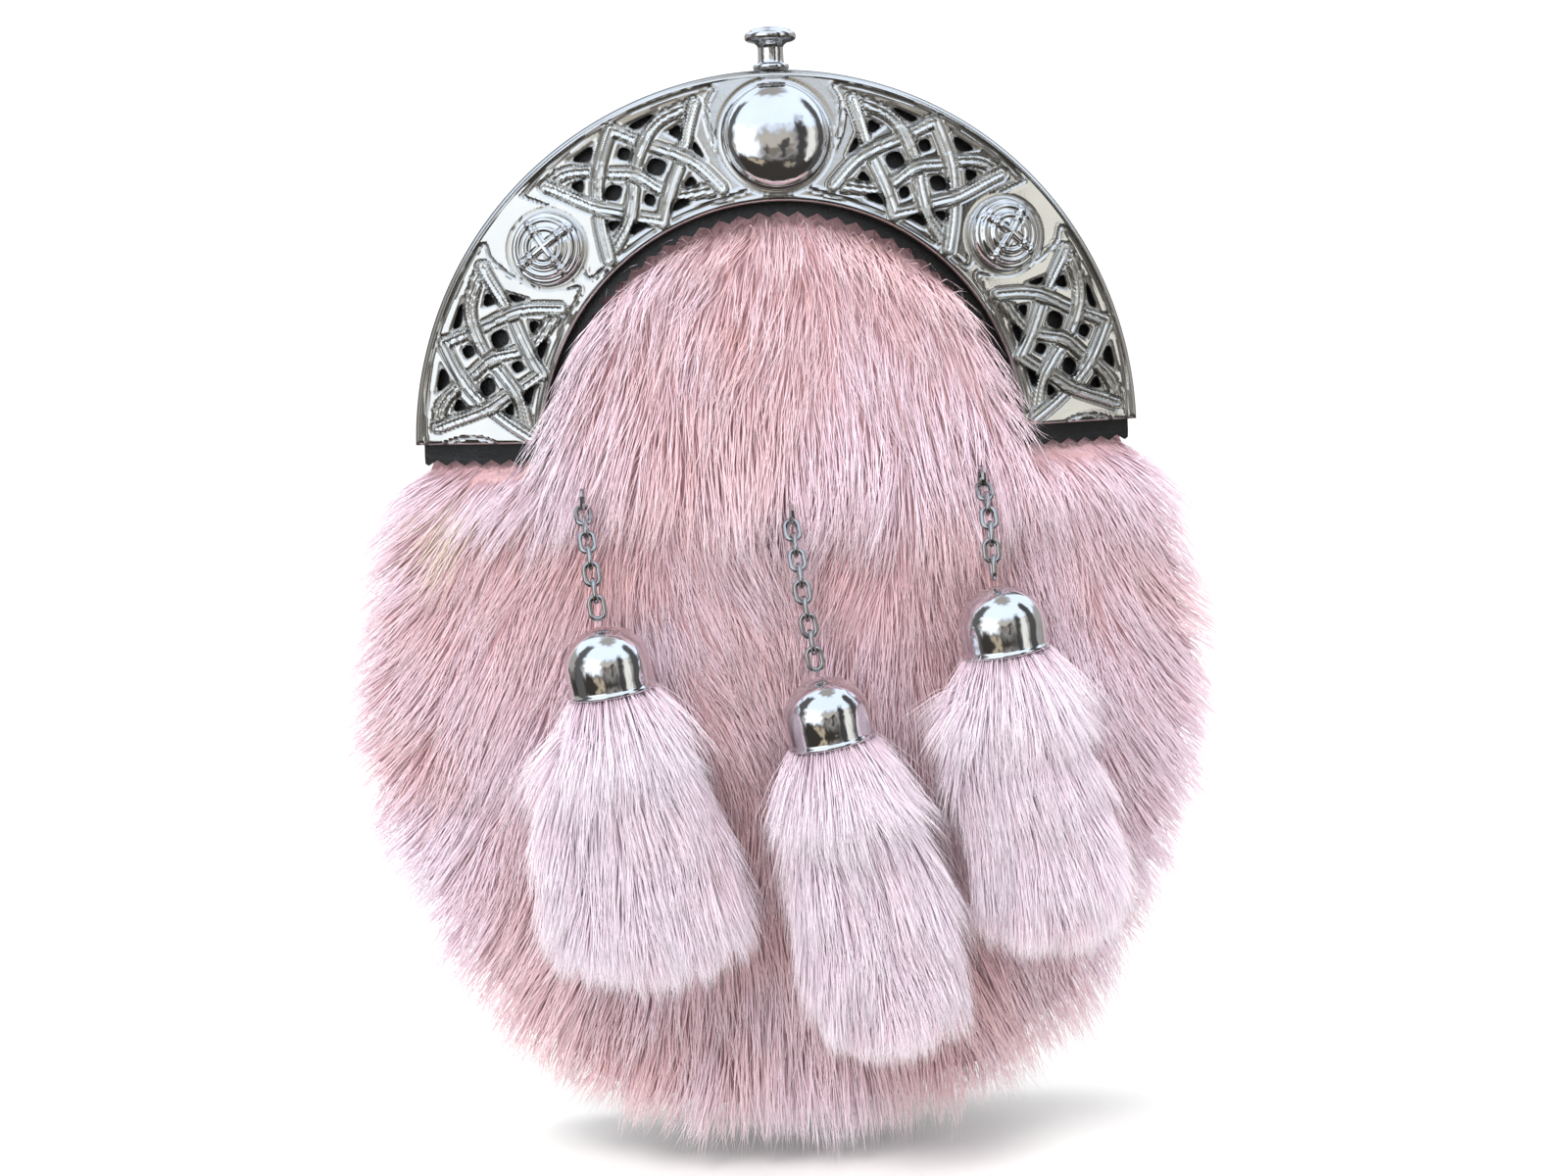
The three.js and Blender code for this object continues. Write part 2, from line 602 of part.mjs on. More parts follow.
function tassel(sections, axisY, rim, lean) {
  const around = 20;
  const neck = NECK.map(([rise, radius]) => [rim.z + rise, rim.x - rise * Math.tan(lean), radius, radius]);
  const rows = [...neck, ...sections];
  const rings = rows.map(([z, x, halfWidth, halfDepth]) => {
    const ring = [];
    for (let i = 0; i < around; i += 1) {
      const angle = (i / around) * 2 * Math.PI;
      ring.push(new THREE.Vector3(x - halfWidth * Math.sin(angle), axisY - halfDepth * Math.cos(angle), z));
    }
    return ring;
  });
  const [topZ, topX] = rows[0];
  const [endZ, endX] = rows[rows.length - 1];
  return ringedBody(
    new THREE.Vector3(topX, axisY, topZ + 1),
    rings,
    new THREE.Vector3(endX, axisY, endZ - 2.5),
  );
}

function hangers() {
  for (const hanger of HANGERS) {
    chain(hanger);
    const eyeFacing = hanger.links % 2 === 1 ? Math.PI / 2 : 0;
    const cap = addPiece(`bell_cap_${hanger.side}`, bellCap(eyeFacing), metal(0.12));
    const lean = hanger.lean * RAD;
    const [eyeX, eyeZ] = hanger.eye;
    cap.rotation.set(0, -lean, 0);
    cap.position.set(eyeX + EYE_HEIGHT * Math.sin(lean), hanger.depth, eyeZ - EYE_HEIGHT * Math.cos(lean));
    const hair = tassel(TASSELS[hanger.side], hanger.depth, cap.position, lean);
    addPiece(`tassel_${hanger.side}`, hair, fur(LILAC));
  }
}

// ---- assembly ----
addPiece("cantle", cantle(), metal(0.25));
addPiece("cantle_backing", cantleBacking(), leather(BLACK));
seatOnCantle(addPiece("centre_dome", centreDome(), metal(0.08)), ORNAMENT_R, 0);
seatOnCantle(addPiece("boss_left", boss(), metal(0.2)), ORNAMENT_R, -BOSS_ANGLE);
seatOnCantle(addPiece("boss_right", boss(), metal(0.2)), ORNAMENT_R, BOSS_ANGLE);
const finial = addPiece("knob", knob(), metal(0.12));
finial.position.set(0, (RIM_DEPTH - CANTLE_THICKNESS) / 2, CANTLE_OUTER_R + GAP);
addPiece("fur_front", furFront(), fur(PINK));
addPiece("gusset", gusset(), leather(BLACK));
addPiece("back_panel", backPanel(), leather(BLACK));
addPiece("back_flap", backFlap(), leather(BLACK));
addPiece("flap_stud", flapStud(), metal(0.2)).position.set(0, 0, STUD.z);
addPiece("belt_loop_left", beltLoop(), leather(BLACK)).position.set(-LOOP_X, 0, LOOP_Z);
addPiece("belt_loop_right", beltLoop(), leather(BLACK)).position.set(LOOP_X, 0, LOOP_Z);
hangers();

// the strap's middle line runs through both loops: that is where the pouch hangs, and its origin
const STRAP_Y = PANEL_FAR + GAP + LOOP_STANDOFF / 2;
pouch.position.set(0, -STRAP_Y, -LOOP_Z);

export default pouch;
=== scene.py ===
"""A full dress sporran pouch: fur front, pierced cantle, leather bag and three tassels."""
import math

import bpy
import numpy as np
from mathutils import Matrix, Vector, noise
from mathutils.kdtree import KDTree


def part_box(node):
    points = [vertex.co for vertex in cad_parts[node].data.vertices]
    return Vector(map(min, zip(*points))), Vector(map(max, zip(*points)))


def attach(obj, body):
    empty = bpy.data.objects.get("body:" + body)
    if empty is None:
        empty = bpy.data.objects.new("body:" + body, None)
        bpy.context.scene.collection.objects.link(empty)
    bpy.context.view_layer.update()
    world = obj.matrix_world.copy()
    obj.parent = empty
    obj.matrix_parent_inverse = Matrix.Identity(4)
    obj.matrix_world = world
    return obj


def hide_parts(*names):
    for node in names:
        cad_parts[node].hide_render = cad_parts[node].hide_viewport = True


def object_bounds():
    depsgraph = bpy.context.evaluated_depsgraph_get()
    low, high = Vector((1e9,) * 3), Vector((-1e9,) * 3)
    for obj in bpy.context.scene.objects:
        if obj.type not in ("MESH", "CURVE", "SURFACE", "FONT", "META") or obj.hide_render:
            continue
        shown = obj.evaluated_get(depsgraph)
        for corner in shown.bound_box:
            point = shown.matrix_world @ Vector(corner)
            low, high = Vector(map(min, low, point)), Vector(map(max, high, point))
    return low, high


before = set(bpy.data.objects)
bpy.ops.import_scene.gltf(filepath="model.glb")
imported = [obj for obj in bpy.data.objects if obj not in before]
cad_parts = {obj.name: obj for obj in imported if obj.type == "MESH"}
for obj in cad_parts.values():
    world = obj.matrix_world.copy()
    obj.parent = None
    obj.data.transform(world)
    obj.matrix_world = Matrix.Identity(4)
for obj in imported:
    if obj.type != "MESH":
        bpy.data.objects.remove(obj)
cad_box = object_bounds()

MM = 0.001
rng = np.random.default_rng(20)


# ---------------------------------------------------------------- places taken from the frame

def box_mm(node):
    low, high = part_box(node)
    return np.array(low) / MM, np.array(high) / MM


def middle_mm(node):
    low, high = box_mm(node)
    return (low + high) / 2


CANTLE_THICKNESS = 2.4
CANTLE_DISH = 6.0
INNER_R = 54.6
BEND_R = 350.0
LEATHER_R = 51.4
RIM_DEPTH = 5.0
RIM_WALL = 1.6
cantle_low, cantle_high = box_mm("cantle")
OUTER_R = (cantle_high[0] - cantle_low[0]) / 2
ARC_Z = cantle_high[2] - OUTER_R
ARC_Y = box_mm("gusset")[1][1] - 40.0
LEG_Z = cantle_low[2] - ARC_Z
SLOPE = CANTLE_DISH / (OUTER_R - INNER_R)
ORNAMENT_R = 69.0
BOSS_ANGLE = 48.4
BOSS_R = 8.5
BODY_Z = -42.0


def bend_depth(x):
    return x * x / (2 * BEND_R)


def plate_depth(x, z):
    """Depth of the cantle's plain front face at a place given from the middle of its arc."""
    return bend_depth(x) - SLOPE * (OUTER_R - np.hypot(x, z)) - CANTLE_THICKNESS


def placed(points):
    """Millimetres from the middle of the cantle's arc to the frame's metres."""
    return (np.asarray(points, float) + (0, ARC_Y, ARC_Z)) * MM


# ---------------------------------------------------------------- meshes

def add_mesh(name, points, faces, smooth=True):
    mesh = bpy.data.meshes.new(name)
    mesh.from_pydata(np.asarray(points, float).tolist(), [], [list(map(int, face)) for face in faces])
    mesh.validate()
    mesh.update()
    if smooth:
        mesh.shade_smooth()
    else:
        mesh.shade_flat()
    piece = bpy.data.objects.new(name, mesh)
    bpy.context.collection.objects.link(piece)
    return piece


def grid_faces(rows, columns, closed=False):
    """Quads of a grid of points, row by row; a closed grid joins its last column to its first."""
    wide = columns if closed else columns - 1
    i, j = np.meshgrid(np.arange(rows - 1), np.arange(wide), indexing="ij")
    k = (j + 1) % columns
    corners = i * columns + j, i * columns + k, (i + 1) * columns + k, (i + 1) * columns + j
    return np.stack(corners, -1).reshape(-1, 4)


def smooth_by_angle(piece, degrees=35):
    bpy.context.view_layer.objects.active = piece
    piece.select_set(True)
    bpy.ops.object.shade_smooth_by_angle(angle=math.radians(degrees))
    piece.select_set(False)
    return bake_modifiers(piece)


def bake_modifiers(piece):
    """Turns a piece's modifiers into its plain mesh."""
    graph = bpy.context.evaluated_depsgraph_get()
    made = bpy.data.meshes.new_from_object(piece.evaluated_get(graph), depsgraph=graph)
    old = piece.data
    piece.modifiers.clear()
    piece.data = made
    bpy.data.meshes.remove(old)
    return piece


def vertex_values(mesh, key="co"):
    """Three numbers for each vertex: its place, or its normal."""
    values = np.zeros(len(mesh.vertices) * 3)
    mesh.vertices.foreach_get(key, values)
    return values.reshape(-1, 3)


def triangles(mesh):
    """The three vertex numbers of each triangle."""
    mesh.calc_loop_triangles()
    corners = np.zeros(len(mesh.loop_triangles) * 3, int)
    mesh.loop_triangles.foreach_get("vertices", corners)
    return corners.reshape(-1, 3)


def face_outward(piece):
    """Turns a closed piece's faces over where they face inward."""
    a, b, c = vertex_values(piece.data)[triangles(piece.data)].transpose(1, 0, 2)
    if np.sum(a * np.cross(b, c)) < 0:
        piece.data.flip_normals()


def ring_points(radius, height, angles):
    """Points round the Z axis at one radius and height."""
    across, up = radius * np.cos(angles), radius * np.sin(angles)
    return np.stack([across, up, np.full(len(angles), height)], 1).tolist()


def end_fans(spokes, last):
    """Triangles from a turned grid's two end points, 0 and 1, to its first ring and its last."""
    faces = []
    for i in range(spokes):
        following = (i + 1) % spokes
        faces.append([0, 2 + following, 2 + i])
        faces.append([1, last + i, last + following])
    return faces


def turned(name, profile, spokes=96):
    """A closed turned piece on the Z axis from (radius, height) corners that start and end on the axis."""
    profile = np.array(profile, float)
    angles = np.arange(spokes) / spokes * 2 * np.pi
    rings = profile[1:-1]
    points = [[0, 0, profile[0][1]], [0, 0, profile[-1][1]]]
    for radius, height in rings:
        points += ring_points(radius, height, angles)
    faces = (grid_faces(len(rings), spokes, closed=True) + 2).tolist()
    faces += end_fans(spokes, 2 + (len(rings) - 1) * spokes)
    return add_mesh(name, points, faces)


def place(piece, matrix):
    piece.data.transform(matrix)
    piece.data.update()
    return piece


def finished(piece, material, slot, *nodes):
    """Gives a piece its material and its place on the body, in place of its frame nodes."""
    piece.data.materials.clear()
    piece.data.materials.append(material)
    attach(piece, "root")
    if nodes:
        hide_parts(*nodes)
    return piece


# ---------------------------------------------------------------- materials

class Shader:
    """A material's node tree, with short calls to add and join its nodes."""

    def __init__(self, name):
        self.material = bpy.data.materials.new(name)
        self.material.use_nodes = True
        self.tree = self.material.node_tree
        self.principled = self.tree.nodes["Principled BSDF"]

    def add(self, kind, **settings):
        node = self.tree.nodes.new(kind)
        for key, value in settings.items():
            if hasattr(node, key):
                setattr(node, key, value)
            else:
                node.inputs[key].default_value = value
        return node

    def join(self, source, target):
        self.tree.links.new(source, target)

    def set(self, **constants):
        for key, value in constants.items():
            self.principled.inputs[key.replace("_", " ")].default_value = value

    def place(self):
        return self.add("ShaderNodeTexCoord").outputs["Object"]

    def noise(self, scale, detail=4.0, roughness=0.55, vector=None, distortion=0.0):
        sizes = {"Scale": scale, "Detail": detail, "Roughness": roughness, "Distortion": distortion}
        node = self.add("ShaderNodeTexNoise", **sizes)
        self.join(vector or self.place(), node.inputs["Vector"])
        return node.outputs["Fac"]

    def ramp(self, value, *stops):
        """A colour ramp from (position, colour) stops; a plain number stands for a grey."""
        node = self.add("ShaderNodeValToRGB")
        elements = node.color_ramp.elements
        while len(elements) < len(stops):
            elements.new(0.5)
        for element, (position, colour) in zip(elements, stops):
            element.position = position
            element.color = (colour,) * 3 + (1,) if isinstance(colour, (int, float)) else (*colour, 1)
        self.join(value, node.inputs["Fac"])
        return node.outputs["Color"]

    def mix(self, factor, first, second, blend="MIX"):
        node = self.add("ShaderNodeMix", data_type="RGBA", blend_type=blend)
        for socket, value in zip((node.inputs[0], node.inputs[6], node.inputs[7]), (factor, first, second)):
            if isinstance(value, bpy.types.NodeSocket):
                self.join(value, socket)
            else:
                socket.default_value = value if isinstance(value, float) else (*value, 1)
        return node.outputs[2]

    def bump(self, height, strength, distance, normal=None):
        node = self.add("ShaderNodeBump", Strength=strength, Distance=distance)
        self.join(height, node.inputs["Height"])
        if normal:
            self.join(normal, node.inputs["Normal"])
        return node.outputs["Normal"]

    def finish(self, colour=None, roughness=None, normal=None):
        for socket, value in (("Base Color", colour), ("Roughness", roughness), ("Normal", normal)):
            if value is not None:
                self.join(value, self.principled.inputs[socket])
        return self.material


def polished_metal(name="polished plating", colour=(0.82, 0.82, 0.83), low=0.04, high=0.14):
    """Mirror plating with a faint cast wave, cloudy handling marks and hair-fine scratches."""
    shader = Shader(name)
    shader.set(Metallic=1.0)
    clouds = shader.noise(90, 5)
    scratches = shader.noise(2600, 2, 0.7)
    tint = shader.ramp(clouds, (0.3, tuple(c * 0.93 for c in colour)), (0.7, colour))
    rough = shader.ramp(clouds, (0.35, low), (0.75, high))
    wave = shader.bump(shader.noise(55, 2), 0.10, 0.0006)
    fine = shader.bump(scratches, 0.03, 0.0001, wave)
    return shader.finish(tint, rough, fine)


def cast_metal():
    """The cantle, by its own relief values: mirror ground, frosted bands with a painted highlight, and darker
    engraved grooves and back.
    """
    shader = Shader("cast cantle plating")
    shader.set(Metallic=1.0)
    relief = shader.add("ShaderNodeAttribute", attribute_name="relief").outputs["Fac"]
    pitting = shader.noise(1400, 4, 0.65)
    clouds = shader.noise(120, 4)
    ground = shader.mix(clouds, (0.70, 0.68, 0.64), (0.86, 0.85, 0.82))
    # painted highlight: the raised bands' colour goes above white; the engraved grooves and the back of the
    # plate are darker
    band_highlight_and_groove_tone = shader.ramp(relief, (0.25, 0.30), (0.42, 0.9), (0.6, 0.9), (0.8, (1.14, 1.15, 1.15)))
    colour = shader.mix(1.0, ground, band_highlight_and_groove_tone, "MULTIPLY")
    rough = shader.ramp(relief, (0.0, 0.5), (0.40, 0.34), (0.5, 0.09), (0.62, 0.18), (0.9, 0.36))
    grain = shader.bump(pitting, 0.18, 0.00012)
    wave = shader.bump(shader.noise(70, 2), 0.12, 0.0007, grain)
    return shader.finish(colour, rough, wave)


def leather(name, colour, scale=900.0, gloss=(0.34, 0.55)):
    """Fine pebbled leather: cells for the grain, soft creases and slightly rubbed high spots."""
    shader = Shader(name)
    shader.set(Coat_Weight=0.08, Coat_Roughness=0.35)
    cells = shader.add("ShaderNodeTexVoronoi", feature="DISTANCE_TO_EDGE", Scale=scale, Randomness=1.0)
    warped = shader.add("ShaderNodeVectorMath", operation="ADD")
    shader.join(shader.place(), warped.inputs[0])
    wander = shader.add("ShaderNodeTexNoise", Scale=300.0, Detail=2.0)
    shader.join(shader.place(), wander.inputs["Vector"])
    shift = shader.add("ShaderNodeVectorMath", operation="SCALE", Scale=0.0012)
    shader.join(wander.outputs["Color"], shift.inputs[0])
    shader.join(shift.outputs[0], warped.inputs[1])
    shader.join(warped.outputs[0], cells.inputs["Vector"])
    pebble = shader.ramp(cells.outputs["Distance"], (0.0, 0.0), (0.25, 0.8), (1.0, 1.0))
    clouds = shader.noise(60, 5)
    dark = tuple(c * 0.6 for c in colour)
    worn = tuple(min(c * 1.9 + 0.008, 1) for c in colour)
    tone = shader.mix(pebble, dark, colour)
    rubbed = shader.mix(shader.ramp(clouds, (0.5, 0.0), (0.8, 0.55)), tone, worn)
    rough = shader.ramp(clouds, (0.3, gloss[1]), (0.75, gloss[0]))
    creases = shader.bump(shader.noise(220, 5, 0.6), 0.25, 0.0006)
    grain = shader.bump(pebble, 0.35, 0.00022, creases)
    return shader.finish(rubbed, rough, grain)


def hair(name, bands, sheen=0.25):
    """Hair coloured by each strand's own map: its first value runs from root to tip, its second is the tone.
    Each band is (tone, root, body, tip)."""
    shader = Shader(name)
    shader.set(Sheen_Weight=sheen, Sheen_Roughness=0.45, Roughness=0.55, Specular_IOR_Level=0.28)
    shader.set(Subsurface_Weight=0.12, Subsurface_Scale=0.004)
    shader.principled.inputs["Subsurface Radius"].default_value = (1.0, 0.45, 0.5)
    strand = shader.add("ShaderNodeUVMap", uv_map="OFBake").outputs["UV"]
    split = shader.add("ShaderNodeSeparateXYZ")
    shader.join(strand, split.inputs[0])
    along, tone = split.outputs["X"], split.outputs["Y"]
    roots = shader.ramp(tone, *[(band[0], band[1]) for band in bands])
    bodies = shader.ramp(tone, *[(band[0], band[2]) for band in bands])
    tips = shader.ramp(tone, *[(band[0], band[3]) for band in bands])
    lower = shader.mix(shader.ramp(along, (0.03, 0.0), (0.42, 1.0)), roots, bodies)
    colour = shader.mix(shader.ramp(along, (0.55, 0.0), (0.97, 1.0)), lower, tips)
    return shader.finish(colour)


def underfur(name, deep, light):
    """The matted wool below the long hair: fine streaks down the body and soft patches."""
    shader = Shader(name)
    shader.set(Sheen_Weight=0.3, Sheen_Roughness=0.5, Roughness=0.8, Specular_IOR_Level=0.2)
    stretch = shader.add("ShaderNodeMapping")
    stretch.inputs["Scale"].default_value = (1.0, 1.0, 0.08)
    shader.join(shader.place(), stretch.inputs["Vector"])
    streaks = shader.noise(1500, 4, 0.7, stretch.outputs[0], 0.4)
    patches = shader.noise(45, 3)
    colour = shader.ramp(streaks, (0.3, deep), (0.7, light))
    shaded = shader.mix(shader.ramp(patches, (0.35, 0.35), (0.7, 0.0)), colour, tuple(c * 0.8 for c in deep))
    return shader.finish(shaded, None, shader.bump(streaks, 0.6, 0.0012))


def thread():
    shader = Shader("waxed thread")
    shader.set(Roughness=0.5)
    twist = shader.add("ShaderNodeTexWave", Scale=900.0, Distortion=1.0)
    shader.join(shader.place(), twist.inputs["Vector"])
    colour = shader.ramp(twist.outputs["Fac"], (0.2, (0.012, 0.012, 0.013)), (0.8, (0.06, 0.057, 0.055)))
    return shader.finish(colour, None, shader.bump(twist.outputs["Fac"], 0.3, 0.0002))


# ---------------------------------------------------------------- cantle

# One knotwork panel. Each place is its angle in degrees from the panel's middle, plus towards the dome,
# and its radius in mm from the middle of the cantle's arc.
STRANDS = {
    "tip_rise": [(14, 78.9), (6.4, 77), (0, 70), (-2.1, 65.9), (-6.5, 60.9), (-14.5, 57.5)],
    "tip_fall": [
        (-13.8, 78.8), (-10.1, 78.2), (-6.5, 75.2), (-3.7, 72.2),
        (0, 69), (3, 63.5), (6.2, 60.6), (14.9, 59.2),
    ],
    "outer_corner": [
        (-14.5, 57.5), (-6.8, 71.7), (0, 80.4),
        (2.9, 75.8), (5.4, 72.4), (10.6, 66.8), (14.9, 59.2),
    ],
    "inner_corner": [
        (-13.8, 78.8), (-10.1, 69), (-6.3, 63.8), (-3.6, 60.4),
        (0, 57.3), (7.3, 65.8), (9.8, 69.6), (14, 78.9),
    ],
}
# which point of a band is its sharp corner
SHARP = {"outer_corner": 2, "inner_corner": 4}
# the band that lies on top at each crossing, and where
CROSSINGS = [
    ("tip_rise", 4, 73.7),
    ("tip_fall", 0, 69),
    ("tip_rise", -5, 62.3),
    ("outer_corner", -6, 73.6),
    ("inner_corner", -9, 67),
    ("outer_corner", 9, 69),
    ("inner_corner", 4.5, 62.2),
]
HOLES = [
    [(0, 76.3), (-1.5, 74.4), (0, 72.6), (1.5, 74.4)],
    [(1.7, 68.9), (4.1, 71.1), (6.4, 68.4), (4, 66)],
    [(-7.6, 68.5), (-5.3, 70.6), (-3, 68.4), (-5.3, 66.1)],
    [(0, 64.6), (-1.5, 62.8), (0, 60.9), (1.5, 62.8)],
    [(8, 74.8), (10.9, 75.7), (9.9, 72)],
    [(-8, 74.8), (-10.9, 75.7), (-9.9, 72)],
    [(7, 62.2), (9.6, 64.2), (10.4, 61.4)],
    [(-7, 62.2), (-9.6, 64.2), (-10.4, 61.4)],
    [(2.4, 79.7), (8.2, 79.9), (3.8, 77.5)],
    [(-8.4, 79.9), (-3.3, 79.9), (-5.6, 76.6)],
    [(2.6, 58), (7.6, 58.2), (6.2, 60), (4.4, 59.8)],
    [(-7.6, 58.2), (-2.6, 58), (-4.4, 59.8), (-6.2, 60)],
    [(12.3, 71.4), (13.3, 66.2), (11.2, 69)],
]
# each panel's middle in degrees from the top, and 1 or -1 for the side that the dome is on
PANELS = [(-71.5, 1), (-27.0, 1), (27.0, -1), (71.5, -1)]
BAND_HALF = 1.15
BAND_RISE = 0.75
GROOVE_HALF = 0.28


def flat(angle, radius):
    """A panel's own angle and radius to flat millimetres about the panel's middle."""
    turn = np.radians(angle)
    return np.stack([radius * np.sin(turn), radius * np.cos(turn)], -1)


def rounded_path(points, sharp=None, steps=12):
    """A smooth path through the points, with one corner kept sharp."""
    points = np.array(points, float)
    pieces = [points] if sharp is None else [points[:sharp + 1], points[sharp:]]
    drawn = []
    for piece in pieces:
        padded = np.vstack([2 * piece[0] - piece[1], piece, 2 * piece[-1] - piece[-2]])
        for a, b, c, d in zip(padded, padded[1:], padded[2:], padded[3:]):
            t = np.linspace(0, 1, steps, endpoint=False)[:, None]
            bend, twist = 2 * a - 5 * b + 4 * c - d, 3 * b - a - 3 * c + d
            drawn.append(0.5 * (2 * b + (c - a) * t + bend * t ** 2 + twist * t ** 3))
        drawn.append(piece[-1:])
    return np.vstack(drawn)


def distance_to_path(places, path):
    """Distance of each place from the nearest point of a drawn line."""
    start, run = path[:-1], np.diff(path, axis=0)
    best = np.full(len(places), 1e9)
    for a, d in zip(start, run):
        length = d @ d
        if length < 1e-12:
            continue
        t = np.clip((places - a) @ d / length, 0, 1)[:, None]
        best = np.minimum(best, np.hypot(*(places - a - t * d).T))
    return best


def band_height(distance):
    """Height of a knot band across its width: rounded shoulders and three cut grooves."""
    shoulder = BAND_RISE * np.clip((BAND_HALF - distance) / 0.32, 0, 1) ** 0.5
    middle = -0.42 * np.exp(-(distance / GROOVE_HALF) ** 2)
    side = -0.42 * np.exp(-((distance - BAND_HALF - 0.28) / 0.22) ** 2)
    return np.where(distance < BAND_HALF, shoulder + middle, side)


def panel_frame():
    """The engraved line around a panel: straight sides drawn in towards the round ornaments."""
    return rounded_path([
        (-17.6, 81.4), (-8, 81.9), (0, 82.1), (8, 81.9), (17.0, 81.6),
        (15.9, 78), (15.4, 72), (16.6, 66), (18.8, 61), (20.6, 57.8),
        (10, 56.6), (0, 56.4), (-10, 56.6), (-20.4, 57.6),
        (-18.0, 62), (-15.4, 67), (-15.2, 73), (-17.6, 81.4),
    ], steps=6)


def knot_relief(angles, radii):
    """Height of the knotwork over the plain plate, for places of one panel."""
    places = flat(angles, radii)
    height = np.zeros(len(places))
    frame_line = distance_to_path(places, flat(*panel_frame().T))
    height -= 0.38 * np.exp(-(frame_line / 0.30) ** 2)
    height += 0.16 * np.exp(-((frame_line - 0.62) / 0.25) ** 2)
    distances = {}
    for name, points in STRANDS.items():
        path = flat(*rounded_path(points, SHARP.get(name)).T)
        distances[name] = distance_to_path(places, path)
        near = distances[name] < BAND_HALF + 0.75
        height[near] = band_height(distances[name][near])
    for name, angle, radius in CROSSINGS:
        here = np.hypot(*(places - flat(angle, radius)).T) < 2.9
        near = here & (distances[name] < BAND_HALF + 0.75)
        height[near] = band_height(distances[name][near]) + 0.12 * (distances[name][near] < BAND_HALF)
    for corners in HOLES:
        outline = flat(*np.array(corners + corners[:1], float).T)
        height -= 0.35 * np.exp(-(distance_to_path(places, outline) / 0.3) ** 2) * (height < 0.3)
    return height


def polygon_prisms(polygons, near, far):
    """Closed prisms through the plate, one for each (x, z) outline."""
    points, faces = [], []
    for outline in polygons:
        outline = np.array(outline)
        x, z = outline.T
        if np.sum(x * np.roll(z, -1) - np.roll(x, -1) * z) < 0:
            outline = outline[::-1]
        base, count = len(points), len(outline)
        points += [(x, near, z) for x, z in outline] + [(x, far, z) for x, z in outline]
        faces.append([base + i for i in range(count)])
        faces.append([base + count + i for i in reversed(range(count))])
        for i in range(count):
            following = (i + 1) % count
            faces.append([base + i, base + count + i, base + count + following, base + following])
    return points, faces


def soft_corners(outline, cut=0.22):
    """Corners of a cast hole rounded off by cutting each one twice."""
    outline = np.array(outline, float)
    for _ in range(2):
        ahead = np.roll(outline, -1, axis=0)
        nearer, farther = outline * (1 - cut) + ahead * cut, outline * cut + ahead * (1 - cut)
        outline = np.stack([nearer, farther], 1).reshape(-1, 2)
    return outline


